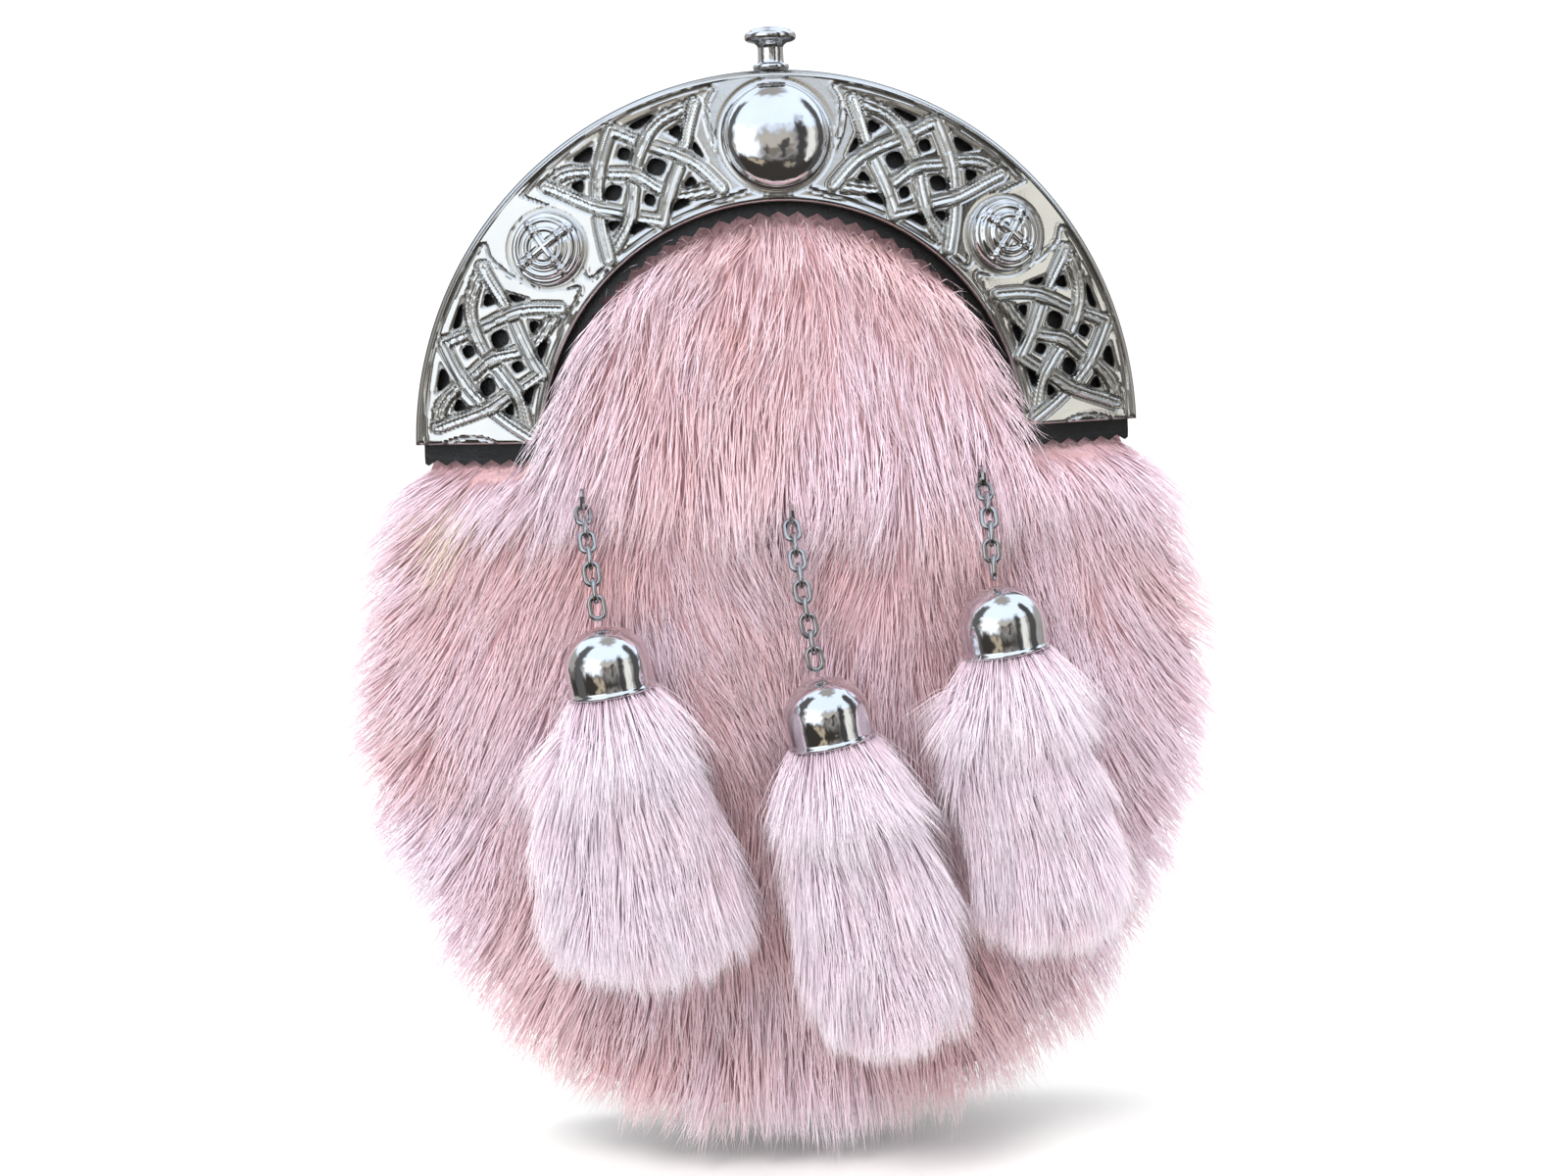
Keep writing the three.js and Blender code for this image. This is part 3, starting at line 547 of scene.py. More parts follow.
def make_cantle():
    """The pierced cantle: a dished plate with engraved relief, cut-through holes and a deep outer rim."""
    radii = np.concatenate([[INNER_R], np.linspace(INNER_R + 0.15, OUTER_R - 0.15, 80), [OUTER_R]])
    half = math.degrees(math.acos(LEG_Z / ORNAMENT_R))
    columns = 576
    across = np.linspace(-1, 1, columns)
    r, u = np.meshgrid(radii, across, indexing="ij")
    end = np.degrees(np.arccos(np.clip(LEG_Z / r, -1, 1)))
    angle = u * (half + (end - half) * np.clip((np.abs(u) - 0.78) / 0.22, 0, 1))
    angle = np.where(np.abs(u) == 1, np.sign(u) * end, angle)
    height = np.zeros(r.size)
    flat_angle, flat_r = angle.ravel(), r.ravel()
    for centre, side in PANELS:
        own = np.abs(flat_angle - centre) < 22.2
        own &= (np.abs(flat_angle) > 0.5)
        height[own] += knot_relief(side * (flat_angle[own] - centre), flat_r[own])
    x = r * np.sin(np.radians(angle))
    z = r * np.cos(np.radians(angle))
    for centre, radius in ((0, 12.9), (-BOSS_ANGLE, 9.0), (BOSS_ANGLE, 9.0)):
        turn = np.radians(centre)
        seat = np.hypot(x - ORNAMENT_R * np.sin(turn), z - ORNAMENT_R * np.cos(turn)).ravel()
        height = np.where(seat < radius + 0.6, -0.25 * np.exp(-((seat - radius) / 0.3) ** 2), height)
    rim = np.minimum(OUTER_R - flat_r, 50)
    height = np.where(rim < 1.5, 0.35 - 1.3 * (np.clip(1.2 - rim, 0, 1.2) / 1.2) ** 2, height)
    inner = flat_r - INNER_R
    height = np.where(inner < 1.1, 0.25 - 1.0 * (np.clip(0.9 - inner, 0, 0.9) / 0.9) ** 2, height)
    foot = z.ravel() - LEG_Z
    height = np.where((foot < 0.7) & (rim > 0.1), np.minimum(height, -0.5 * (1 - foot / 0.7) ** 2), height)
    front_y = plate_depth(x, z).ravel() - height
    rows = len(radii)
    front = np.stack([x.ravel(), front_y, z.ravel()], 1)
    count = rows * columns
    back = []
    rim_inner = OUTER_R - RIM_WALL
    for radius, band_highlight_and_groove_tone in ((INNER_R, False), (rim_inner, False), (rim_inner, True), (OUTER_R, True)):
        turn = np.radians(across * math.degrees(math.acos(LEG_Z / radius)))
        bx, bz = radius * np.sin(turn), radius * np.cos(turn)
        by = bend_depth(bx) + RIM_DEPTH if band_highlight_and_groove_tone else plate_depth(bx, bz) + CANTLE_THICKNESS
        back.append(np.stack([bx, by, bz], 1))
    back = np.vstack(back)
    faces = grid_faces(rows, columns).tolist()
    faces += (grid_faces(4, columns)[:, ::-1] + count).tolist()
    inner, outer = np.arange(columns), np.arange(columns) + count - columns
    for edge, under, turned_over in ((inner, inner + count, 1), (outer, inner + count + 3 * columns, -1)):
        wall = np.stack([edge[1:], edge[:-1], under[:-1], under[1:]], 1)
        faces += wall[:, ::turned_over].tolist()
    for column, step in ((0, 1), (columns - 1, -1)):
        front_end = [row * columns + column for row in range(rows)]
        back_end = [count + row * columns + column for row in reversed(range(4))]
        faces.append((front_end + back_end)[::step])
    plate = add_mesh("cantle_cast", np.vstack([front, back]), faces)
    face_outward(plate)
    relief = plate.data.attributes.new("relief", "FLOAT", "POINT")
    values = np.clip(np.concatenate([height, np.full(len(back), -0.4)]) * 0.55 + 0.5, 0, 1)
    relief.data.foreach_set("value", values.astype(np.float32))
    prisms = []
    for centre, side in PANELS:
        for corners in HOLES:
            corner_angles, corner_radii = np.array(corners, float).T
            turn = np.radians(centre + side * corner_angles)
            outline = np.stack([corner_radii * np.sin(turn), corner_radii * np.cos(turn)], 1)
            prisms.append(soft_corners(outline))
    cutter = add_mesh("hole_cutter", *polygon_prisms(prisms, -40, 40))
    face_outward(cutter)
    cut = plate.modifiers.new("holes", "BOOLEAN")
    cut.operation = "DIFFERENCE"
    cut.object = cutter
    cut.solver = "MANIFOLD"
    bake_modifiers(plate)
    bpy.data.objects.remove(cutter)
    place(plate, Matrix.Translation((0, ARC_Y * MM, ARC_Z * MM)) @ Matrix.Scale(MM, 4))
    smooth_by_angle(plate, 38)
    return finished(plate, cast_metal(), "cantle_metal", "cantle")


# ---------------------------------------------------------------- turned ornaments

def seat_matrix(angle):
    """Stands a turned piece on the cantle at an angle from its top, facing out along the plate's slope."""
    turn = math.radians(angle)
    x, z = ORNAMENT_R * math.sin(turn), ORNAMENT_R * math.cos(turn)
    normal = Vector((SLOPE * math.sin(turn) + x / BEND_R, -1, SLOPE * math.cos(turn))).normalized()
    point = Vector((x, float(plate_depth(x, z)), z)) + normal * 0.3
    spin = Vector((0, 0, 1)).rotation_difference(normal).to_matrix().to_4x4()
    at = Matrix.Translation(placed(point))
    return at @ spin @ Matrix.Scale(MM, 4)


def arc(radius_x, height, start, end, steps, base=0.0):
    angles = np.radians(np.linspace(start, end, steps))
    return [(radius_x * math.cos(a), base + height * math.sin(a)) for a in angles]


def make_dome(metal):
    profile = [(0, -0.2), (12.2, -0.2), (12.35, 0.1), (12.2, 0.45), (11.75, 0.6), (11.6, 0.8)]
    profile += arc(11.6, 5.4, 4, 86, 20, 0.8) + [(0, 6.2)]
    dome = turned("dome_polished", profile, 96)
    place(dome, seat_matrix(0))
    return finished(dome, metal, "polished_metal", "centre_dome")


def make_boss(side, metal):
    """A low boss with two raised rings and a cross, modelled as one height over a round grid."""
    spokes, rings = 108, 36
    radii = np.linspace(0, BOSS_R, rings + 1)[1:]
    angles = np.arange(spokes) / spokes * 2 * np.pi
    r, a = np.meshgrid(radii, angles, indexing="ij")
    x, y = r * np.cos(a), r * np.sin(a)
    height = 1.2 + 2.2 * (1 - (r / BOSS_R) ** 2)
    for ring in (4.1, 6.3):
        off = np.abs(r - ring)
        height += 0.42 * np.exp(-(off / 0.42) ** 4) - 0.2 * np.exp(-((off - 0.75) / 0.25) ** 2)
    arm = np.minimum(np.abs(x), np.abs(y))
    cross = 0.6 * np.exp(-(arm / 0.62) ** 4) - 0.3 * np.exp(-((arm - 0.95) / 0.22) ** 2)
    height += np.where(r < 7.4, cross, 0)
    height -= 1.1 * np.clip((r - 7.5) / 1.0, 0, 1) ** 2
    points = [[0, 0, 4.0], [0, 0, -0.2]] + np.stack([x, y, height], -1).reshape(-1, 3).tolist()
    points += ring_points(BOSS_R, -0.2, angles)
    faces = (grid_faces(rings + 1, spokes, closed=True) + 2).tolist()
    faces += end_fans(spokes, 2 + rings * spokes)
    boss = add_mesh(f"boss_{side}_cast", points, faces)
    face_outward(boss)
    turn = Matrix.Rotation(math.radians(-20 if side == "right" else 20), 4, "Z")
    place(boss, seat_matrix(BOSS_ANGLE if side == "right" else -BOSS_ANGLE) @ turn)
    return finished(boss, metal, "polished_metal", f"boss_{side}")


def make_knob(metal):
    low, high = box_mm("knob")
    profile = [(0, 0), (3.9, 0), (4.05, 0.2), (4.05, 0.8), (3.8, 1.1), (3.1, 1.35), (2.9, 1.9), (2.85, 4.6)]
    profile += [(3.05, 5.3), (3.7, 5.85), (5.0, 6.15), (5.6, 6.45), (5.8, 6.9), (5.8, 7.5)]
    profile += [(5.55, 7.95), (5.1, 8.2), (4.8, 8.25), (4.6, 8.55), (3.6, 9.0), (1.8, 9.3), (0, 9.4)]
    knob = turned("knob_polished", profile, 72)
    smooth_by_angle(knob, 50)
    middle = (low + high) / 2
    place(knob, Matrix.Translation(Vector((middle[0], middle[1], low[2])) * MM) @ Matrix.Scale(MM, 4))
    return finished(knob, metal, "polished_metal", "knob")


SIDES = {
    "left": {"links": 7, "lean": 8},
    "middle": {"links": 9, "lean": 10},
    "right": {"links": 6, "lean": 8},
}
CAP_HEIGHT = 14.6
CAP_RIM_R = 9.8


def cap_matrix(side):
    """Stands a bell cap on its rim where the frame's cap is, leaning the same way."""
    low, high = box_mm(f"bell_cap_{side}")
    lean = math.radians(SIDES[side]["lean"])
    rim_x = high[0] - CAP_RIM_R * math.cos(lean)
    rim_z = low[2] + CAP_RIM_R * math.sin(lean)
    y = (low[1] + high[1]) / 2
    at = Matrix.Translation(Vector((rim_x, y, rim_z)) * MM)
    return at @ Matrix.Rotation(-lean, 4, "Y") @ Matrix.Scale(MM, 4)


def make_cap(side, metal):
    outer = [(8.75, 0), (9.3, -0.05), (9.75, 0.15), (9.85, 0.5), (9.7, 0.85)]
    outer += [(9.45, 1.1), (9.4, 1.5), (9.5, 3), (9.55, 5)]
    outer += arc(9.5, CAP_HEIGHT - 6, 5, 84, 22, 6)
    inner = [(0, CAP_HEIGHT - 0.9)] + arc(8.6, CAP_HEIGHT - 6.9, 80, 8, 8, 6) + [(8.65, 5)]
    cap = turned(f"bell_cap_{side}_polished", inner + outer + [(0, CAP_HEIGHT)], 64)
    face_outward(cap)
    place(cap, cap_matrix(side))
    return finished(cap, metal, "polished_metal", f"bell_cap_{side}")


# ---------------------------------------------------------------- geometry nodes

class Growth:
    """A geometry node tree with named size inputs, short calls to add nodes, and its own way of being run."""

    def __init__(self, name):
        self.tree = bpy.data.node_groups.new(name, "GeometryNodeTree")
        self.tree.interface.new_socket("Geometry", in_out="INPUT", socket_type="NodeSocketGeometry")
        self.tree.interface.new_socket("Geometry", in_out="OUTPUT", socket_type="NodeSocketGeometry")
        self.source = self.tree.nodes.new("NodeGroupInput")
        self.result = self.tree.nodes.new("NodeGroupOutput")
        self.sizes = {}

    def size(self, name, value, kind="NodeSocketFloat"):
        socket = self.tree.interface.new_socket(name, in_out="INPUT", socket_type=kind)
        self.sizes[socket.identifier] = value
        return self.source.outputs[name]

    def add(self, kind, links=None, **settings):
        node = self.tree.nodes.new(kind)
        for key, value in settings.items():
            setattr(node, key, value)
        for key, value in (links or {}).items():
            self.feed(node.inputs[key], value)
        return node

    def feed(self, socket, value):
        if isinstance(value, bpy.types.NodeSocket):
            self.tree.links.new(value, socket)
        else:
            socket.default_value = value

    def read(self, name, kind="FLOAT"):
        node = self.add("GeometryNodeInputNamedAttribute", {"Name": name}, data_type=kind)
        return node.outputs["Attribute"]

    def maths(self, operation, first, second=0.0):
        return self.add("ShaderNodeMath", {0: first, 1: second}, operation=operation).outputs[0]

    def facing(self, name):
        """Turns a copy's long way along the direction that each point carries."""
        direction = {"Vector": self.read(name, "FLOAT_VECTOR")}
        return self.add("FunctionNodeAlignRotationToVector", direction, axis="X").outputs[0]

    def scaled(self, vector, factor):
        node = self.add("ShaderNodeVectorMath", {0: vector, "Scale": factor}, operation="SCALE")
        return node.outputs[0]

    def summed(self, first, *others):
        total = first
        for other in others:
            total = self.add("ShaderNodeVectorMath", {0: total, 1: other}, operation="ADD").outputs[0]
        return total

    def end(self, geometry, material):
        real = self.add("GeometryNodeSetMaterial", {"Geometry": geometry, "Material": material})
        self.tree.links.new(real.outputs[0], self.result.inputs[0])

    def grow(self, piece):
        """Runs the tree on a piece and keeps what it made as the piece's plain mesh."""
        modifier = piece.modifiers.new("growth", "NODES")
        modifier.node_group = self.tree
        for identifier, value in self.sizes.items():
            modifier[identifier] = value
        return bake_modifiers(piece)


def point_piece(name, points, **attributes):
    """Loose points in metres that carry the named values a tree reads."""
    mesh = bpy.data.meshes.new(name)
    mesh.from_pydata(np.asarray(points).tolist(), [], [])
    for key, values in attributes.items():
        values = np.asarray(values, np.float32)
        kind = "FLOAT_VECTOR" if values.ndim == 2 else "FLOAT"
        attribute = mesh.attributes.new(key, kind, "POINT")
        attribute.data.foreach_set("vector" if values.ndim == 2 else "value", values.ravel())
    piece = bpy.data.objects.new(name, mesh)
    bpy.context.collection.objects.link(piece)
    return piece


def link_tree(metal):
    """An oval wire link on every point, turned by its own facing and long direction."""
    tree = Growth("chain links")
    width = tree.size("Link Width", 4.3 * MM)
    length = tree.size("Link Length", 6.1 * MM)
    wire = tree.size("Wire", 1.15 * MM)
    radius = tree.maths("MULTIPLY", tree.maths("SUBTRACT", width, wire), 0.5)
    stretch = tree.maths("MULTIPLY", tree.maths("SUBTRACT", length, width), 0.5)
    circle = tree.add("GeometryNodeCurvePrimitiveCircle", {"Resolution": 28, "Radius": radius})
    place_now = tree.add("GeometryNodeInputPosition").outputs[0]
    split = tree.add("ShaderNodeSeparateXYZ", {0: place_now})
    side = tree.maths("SIGN", split.outputs["X"])
    offset = tree.add("ShaderNodeCombineXYZ", {"X": tree.maths("MULTIPLY", side, stretch)})
    oval = tree.add("GeometryNodeSetPosition", {"Geometry": circle.outputs[0], "Offset": offset.outputs[0]})
    section_radius = tree.maths("MULTIPLY", wire, 0.5)
    section = tree.add("GeometryNodeCurvePrimitiveCircle", {"Resolution": 10, "Radius": section_radius})
    curves = {"Curve": oval.outputs[0], "Profile Curve": section.outputs[0]}
    bent = tree.add("GeometryNodeCurveToMesh", curves)
    smooth = tree.add("GeometryNodeSetShadeSmooth", {"Geometry": bent.outputs[0]})
    flat_way = tree.add("FunctionNodeAlignRotationToVector", {
        "Rotation": tree.facing("down"),
        "Vector": tree.read("facing", "FLOAT_VECTOR"),
    }, axis="Z", pivot_axis="X")
    points = tree.add("GeometryNodeMeshToPoints", {"Mesh": tree.source.outputs[0]})
    placed_links = tree.add("GeometryNodeInstanceOnPoints", {
        "Points": points.outputs[0],
        "Instance": smooth.outputs[0],
        "Rotation": flat_way.outputs[0],
    })
    real = tree.add("GeometryNodeRealizeInstances", {"Geometry": placed_links.outputs[0]})
    tree.end(real.outputs[0], metal)
    return tree


def make_chain(side, tree, metal):
    nodes = [f"chain_{side}_link_{i + 1}" for i in range(SIDES[side]["links"])]
    centres = np.array([middle_mm(node) for node in nodes])
    down = np.gradient(centres, axis=0)
    down /= np.linalg.norm(down, axis=1)[:, None]
    across = np.array([1.0, 0, 0]) - down * down[:, :1]
    across /= np.linalg.norm(across, axis=1)[:, None]
    front = np.cross(across, down)
    facing = np.where(np.arange(len(nodes))[:, None] % 2 == 0, front, across)
    chain = point_piece(f"chain_{side}_wire", centres * MM, down=down, facing=facing)
    tree.grow(chain)
    return finished(chain, metal, "chain_metal", *nodes)


def stitch_tree(material):
    """A short lay of thread on every point, along the seam's direction."""
    tree = Growth("stitches")
    length = tree.size("Stitch Length", 2.3 * MM)
    thick = tree.size("Thread Width", 0.75 * MM)
    bead = tree.add("GeometryNodeMeshUVSphere", {"Segments": 8, "Rings": 5, "Radius": 0.5})
    scale = tree.add("ShaderNodeCombineXYZ", {"X": length, "Y": thick, "Z": thick}).outputs[0]
    smooth = tree.add("GeometryNodeSetShadeSmooth", {"Geometry": bead.outputs[0]})
    shaped = tree.add("GeometryNodeTransform", {"Geometry": smooth.outputs[0], "Scale": scale})
    points = tree.add("GeometryNodeMeshToPoints", {"Mesh": tree.source.outputs[0]})
    laid = tree.add("GeometryNodeInstanceOnPoints", {
        "Points": points.outputs[0],
        "Instance": shaped.outputs[0],
        "Rotation": tree.facing("down"),
    })
    tree.end(tree.add("GeometryNodeRealizeInstances", {"Geometry": laid.outputs[0]}).outputs[0], material)
    return tree


def seam(path, pitch=3.1):
    """Places and directions of stitches at an even pitch along a closed path, in millimetres."""
    path = np.vstack([path, path[:1]])
    along = np.concatenate([[0], np.cumsum(np.linalg.norm(np.diff(path, axis=0), axis=1))])
    count = max(2, round(along[-1] / pitch))
    stops = (np.arange(count) + 0.5) / count * along[-1]
    places, ahead = ([np.interp(at, along, axis) for axis in path.T] for at in (stops, stops + 0.05))
    return np.stack(places, 1), unit(np.stack(ahead, 1) - np.stack(places, 1))


def rounded_box(x0, x1, z0, z1, corner, y):
    turns = np.radians(np.arange(0, 91, 15))
    path = []
    for cx, cz, start in ((x1, z1, 0), (x0, z1, 90), (x0, z0, 180), (x1, z0, 270)):
        ox, oz = cx - corner * (1 if cx == x1 else -1), cz - corner * (1 if cz == z1 else -1)
        angles = turns + math.radians(start)
        across, up = ox + corner * np.cos(angles), oz + corner * np.sin(angles)
        path += np.stack([across, np.full(len(angles), y), up], 1).tolist()
    return np.array(path)


def make_stitching():
    """Seams of the back: round the flap, round the back panel and at the four feet of the strap loops."""
    low, high = box_mm("back_flap")
    paths = [rounded_box(low[0] + 3, high[0] - 3, low[2] + 3, high[2] - 3, 11, high[1])]
    angles, radii = outline_of("back_panel", (0, ARC_Z + BODY_Z))
    turns, radii = np.radians(angles[:-1]), radii[:-1] - 4
    back = np.full(len(turns), box_mm("back_panel")[1][1])
    paths.append(np.stack([radii * np.sin(turns), back, ARC_Z + BODY_Z + radii * np.cos(turns)], 1))
    for side in ("left", "right"):
        low, high = box_mm(f"belt_loop_{side}")
        foot_back = low[1] + 2.0
        for z0, z1 in ((low[2] + 1.2, low[2] + 4.6), (high[2] - 4.6, high[2] - 1.2)):
            paths.append(rounded_box(low[0] + 1.6, high[0] - 1.6, z0, z1, 0.3, foot_back))
    places, directions = (np.concatenate(part) for part in zip(*map(seam, paths)))
    seams = point_piece("back_stitching", places * MM, down=directions)
    material = thread()
    stitch_tree(material).grow(seams)
    finished(seams, material, "bag_leather")


def strand_template():
    """One tapering hair to copy: three-sided, with its place along the hair and across it kept as values."""
    steps = [0.0, 0.36, 0.72]
    along, across, thick, faces = [], [], [], []
    for step in steps:
        for turn in (90, 210, 330):
            along.append(step)
            across.append(math.cos(math.radians(turn)))
            thick.append(math.sin(math.radians(turn)))
    along.append(1.0)
    across.append(0.0)
    thick.append(0.0)
    faces.append((0, 1, 2))
    for ring in range(len(steps) - 1):
        for i in range(3):
            j = (i + 1) % 3
            faces.append((3 * ring + i, 3 * ring + 3 + i, 3 * ring + 3 + j, 3 * ring + j))
    last = 3 * (len(steps) - 1)
    for i in range(3):
        faces.append((last + i, len(along) - 1, last + (i + 1) % 3))
    mesh = bpy.data.meshes.new("strand")
    mesh.from_pydata([(a * 0.001, b * 0.001, c * 0.001) for a, b, c in zip(across, thick, along)], [], faces)
    for key, values in (("along", along), ("across", across), ("thick", thick)):
        attribute = mesh.attributes.new(key, "FLOAT", "POINT")
        attribute.data.foreach_set("value", np.array(values, np.float32))
    mesh.shade_smooth()
    template = bpy.data.objects.new("strand", mesh)
    bpy.context.collection.objects.link(template)
    return template


def hair_tree(template, material):
    """Grows a hair on every point: it rises from the skin, lies over along `lay`, and bends by `sway`."""
    tree = Growth("hair")
    width = tree.size("Hair Width", 0.145 * MM)
    flatness = tree.size("Flatness", 0.5)
    taper = tree.size("Taper", 0.75)
    instance = tree.add("GeometryNodeObjectInfo", {"Object": template}).outputs["Geometry"]
    points = tree.add("GeometryNodeMeshToPoints", {"Mesh": tree.source.outputs[0]})
    copies = tree.add("GeometryNodeInstanceOnPoints", {"Points": points.outputs[0], "Instance": instance})
    real = tree.add("GeometryNodeRealizeInstances", {"Geometry": copies.outputs[0]})
    along = tree.read("along")
    lay, rise, sway = (tree.read(name, "FLOAT_VECTOR") for name in ("lay", "rise", "sway"))
    root = tree.read("root", "FLOAT_VECTOR")
    curve = tree.maths("MULTIPLY", along, along)
    hump = tree.maths("SUBTRACT", tree.maths("MULTIPLY", along, 2.0), curve)
    path = tree.summed(root, tree.scaled(lay, along), tree.scaled(rise, hump), tree.scaled(sway, curve))
    thin = tree.maths("POWER", tree.maths("SUBTRACT", 1.001, tree.maths("POWER", along, 1.6)), taper)
    girth = tree.maths("MULTIPLY", tree.maths("MULTIPLY", width, tree.read("girth")), thin)
    side = tree.read("side", "FLOAT_VECTOR")
    up = tree.read("up", "FLOAT_VECTOR")
    wide = tree.scaled(side, tree.maths("MULTIPLY", girth, tree.read("across")))
    deep_size = tree.maths("MULTIPLY", tree.maths("MULTIPLY", girth, flatness), tree.read("thick"))
    deep = tree.scaled(up, deep_size)
    position = tree.summed(path, wide, deep)
    shaped = tree.add("GeometryNodeSetPosition", {"Geometry": real.outputs[0], "Position": position})
    uv = tree.add("ShaderNodeCombineXYZ", {"X": along, "Y": tree.read("tone")}).outputs[0]
    values = {"Geometry": shaped.outputs[0], "Name": "OFBake", "Value": uv}
    stored = tree.add("GeometryNodeStoreNamedAttribute", values, data_type="FLOAT2", domain="CORNER")
    geometry = stored.outputs[0]
    for name in ("along", "across", "thick", "lay", "rise", "sway", "root", "girth", "side", "up", "tone"):
        geometry = tree.add("GeometryNodeRemoveAttribute", {"Geometry": geometry, "Name": name}).outputs[0]
    smooth = tree.add("GeometryNodeSetShadeSmooth", {"Geometry": geometry})
    tree.end(smooth.outputs[0], material)
    return tree


# ---------------------------------------------------------------- fur

BODY_HAIRS = 27500
TASSEL_HAIRS = 5400
COLLAR_HAIRS = 1200
TASSEL_FLUFF = 7.0                   # how far hair may stand in front of a tassel's frame form
# colours of the hair by tone: root, body and tip; the last two rows are the yellowed patch
BODY_TONES = [
    (0.00, (0.55, 0.26, 0.27), (0.82, 0.52, 0.54), (0.92, 0.72, 0.74)),
    (0.30, (0.62, 0.34, 0.37), (0.88, 0.63, 0.69), (0.94, 0.79, 0.84)),
    (0.60, (0.70, 0.42, 0.48), (0.91, 0.71, 0.81), (0.96, 0.85, 0.92)),
    (0.90, (0.76, 0.52, 0.62), (0.92, 0.78, 0.90), (0.97, 0.90, 0.97)),
    (0.95, (0.80, 0.60, 0.46), (0.93, 0.80, 0.66), (0.97, 0.90, 0.80)),
    (1.00, (0.80, 0.60, 0.46), (0.93, 0.80, 0.66), (0.97, 0.90, 0.80)),
]
TASSEL_TONES = [
    (0.0, (0.58, 0.34, 0.38), (0.82, 0.60, 0.67), (0.94, 0.84, 0.88)),
    (0.4, (0.68, 0.46, 0.55), (0.89, 0.73, 0.83), (0.96, 0.89, 0.95)),
    (1.0, (0.74, 0.56, 0.68), (0.91, 0.80, 0.92), (0.97, 0.93, 0.99)),
]


def unit(vectors):
    return vectors / np.maximum(np.linalg.norm(vectors, axis=1), 1e-9)[:, None]


def skin_from(node, name, inset, voxel, narrowing):
    """A smooth closed skin inside a frame node's form, drawn in across and up, for the hair to stand on."""
    skin = bpy.data.objects.new(name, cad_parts[node].data.copy())
    bpy.context.collection.objects.link(skin)
    weld = skin.modifiers.new("weld", "WELD")
    weld.merge_threshold = 0.00002
    remesh = skin.modifiers.new("remesh", "REMESH")
    remesh.mode = "VOXEL"
    remesh.voxel_size = voxel
    soft = skin.modifiers.new("soft", "SMOOTH")
    soft.iterations = 3
    soft.factor = 0.5
    shrink = skin.modifiers.new("shrink", "DISPLACE")
    shrink.strength = -inset
    shrink.mid_level = 0.0
    bake_modifiers(skin)
    low, high = (Vector(corner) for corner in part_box(node))
    middle = (low + high) / 2
    squeeze = Matrix.Diagonal((narrowing[0], 1, narrowing[1], 1))
    place(skin, Matrix.Translation(middle) @ squeeze @ Matrix.Translation(-middle))
    skin.data.shade_smooth()
    return skin


def scatter(piece, count, weigh=None):
    """Seeded places over a piece's faces, by area or by a given weight: points and normals."""
    points, corners = vertex_values(piece.data), triangles(piece.data)
    normals = vertex_values(piece.data, "normal")
    a, b, c = points[corners].transpose(1, 0, 2)
    area = np.linalg.norm(np.cross(b - a, c - a), axis=1) / 2
    if weigh is not None:
        area = area * weigh((a + b + c) / 3, unit(np.cross(b - a, c - a)))
    chance = np.cumsum(area) / area.sum()
    picks = np.searchsorted(chance, (np.arange(count) + rng.random(count)) / count)
    u, v = rng.random(count), rng.random(count)
    over = u + v > 1
    u, v = np.where(over, 1 - u, u), np.where(over, 1 - v, v)
    blend = np.stack([1 - u - v, u, v], 1)
    chosen = corners[picks]
    return (points[chosen] * blend[:, :, None]).sum(1), unit((normals[chosen] * blend[:, :, None]).sum(1))


def soft_noise(places, scale, seed):
    """Smooth noise from -1 to 1 for each place, in millimetres."""
    shift = Vector((seed * 17.3, seed * 5.1, seed * 9.7))
    return np.array([noise.noise(Vector(p) * scale + shift) for p in places])


def nearest(places, leaders):
    """For each place, which of the leading places is nearest."""
    tree = KDTree(len(leaders))
    for i, leader in enumerate(leaders):
        tree.insert(leader, i)
    tree.balance()
    return np.array([tree.find(place)[1] for place in places])


def lock_pull(roots, tips, spacing, share, wander):
    """How far each hair's tip is drawn towards the tip of the lock it belongs to, and each hair's lock."""
    count = max(4, int(len(roots) * spacing))
    leaders = rng.choice(len(roots), count, replace=False)
    lock = nearest(roots, roots[leaders])
    goals = tips[leaders] + rng.normal(0, wander, (count, 3)) * (1, 0.35, 1)
    return (goals[lock] - tips) * share, lock


def outline_reach(roots, directions, length, middle, limit):
    """The longest that each hair can be with its tip inside an outline of radius by angle round a middle."""
    shortest, longest = np.full(len(length), 2.0), length.copy()
    for _ in range(9):
        trial = (shortest + longest) / 2
        tips = roots + directions * trial[:, None]
        x, z = tips[:, 0] - middle[0], tips[:, 2] - middle[1]
        inside = np.hypot(x, z) < np.interp(np.degrees(np.arctan2(x, z)), *limit)
        shortest = np.where(inside, trial, shortest)
        longest = np.where(inside, longest, trial)
    return shortest


def outline_of(node, middle):
    """Radius of a frame node's front outline at each degree round a middle point, from the top."""
    x, _, z = vertex_values(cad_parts[node].data).T / MM
    x, z = x - middle[0], z - middle[1]
    angle, radius = np.degrees(np.arctan2(x, z)), np.hypot(x, z)
    angles = np.arange(-180, 181, 4)
    return angles, np.array([radius[np.abs((angle - a + 180) % 360 - 180) < 5].max() for a in angles])


def grow_hair(name, tree, roots, normals, lay, lift, length, tone, girth, sway):
    """One piece of hair from per-root values, all in millimetres except unit directions."""
    side = unit(np.cross(lay, normals))
    up = np.cross(side, lay)
    piece = point_piece(
        name, roots * MM,
        root=roots * MM,
        lay=lay * length[:, None] * MM,
        rise=normals * (lift * length)[:, None] * MM,
        sway=sway * MM,
        side=side,
        up=up,
        girth=girth,
        tone=tone,
    )
    return tree.grow(piece)


def over_skin(lay, normals, hug=0.85):
    return unit(lay - normals * (np.sum(lay * normals, 1) * hug)[:, None])


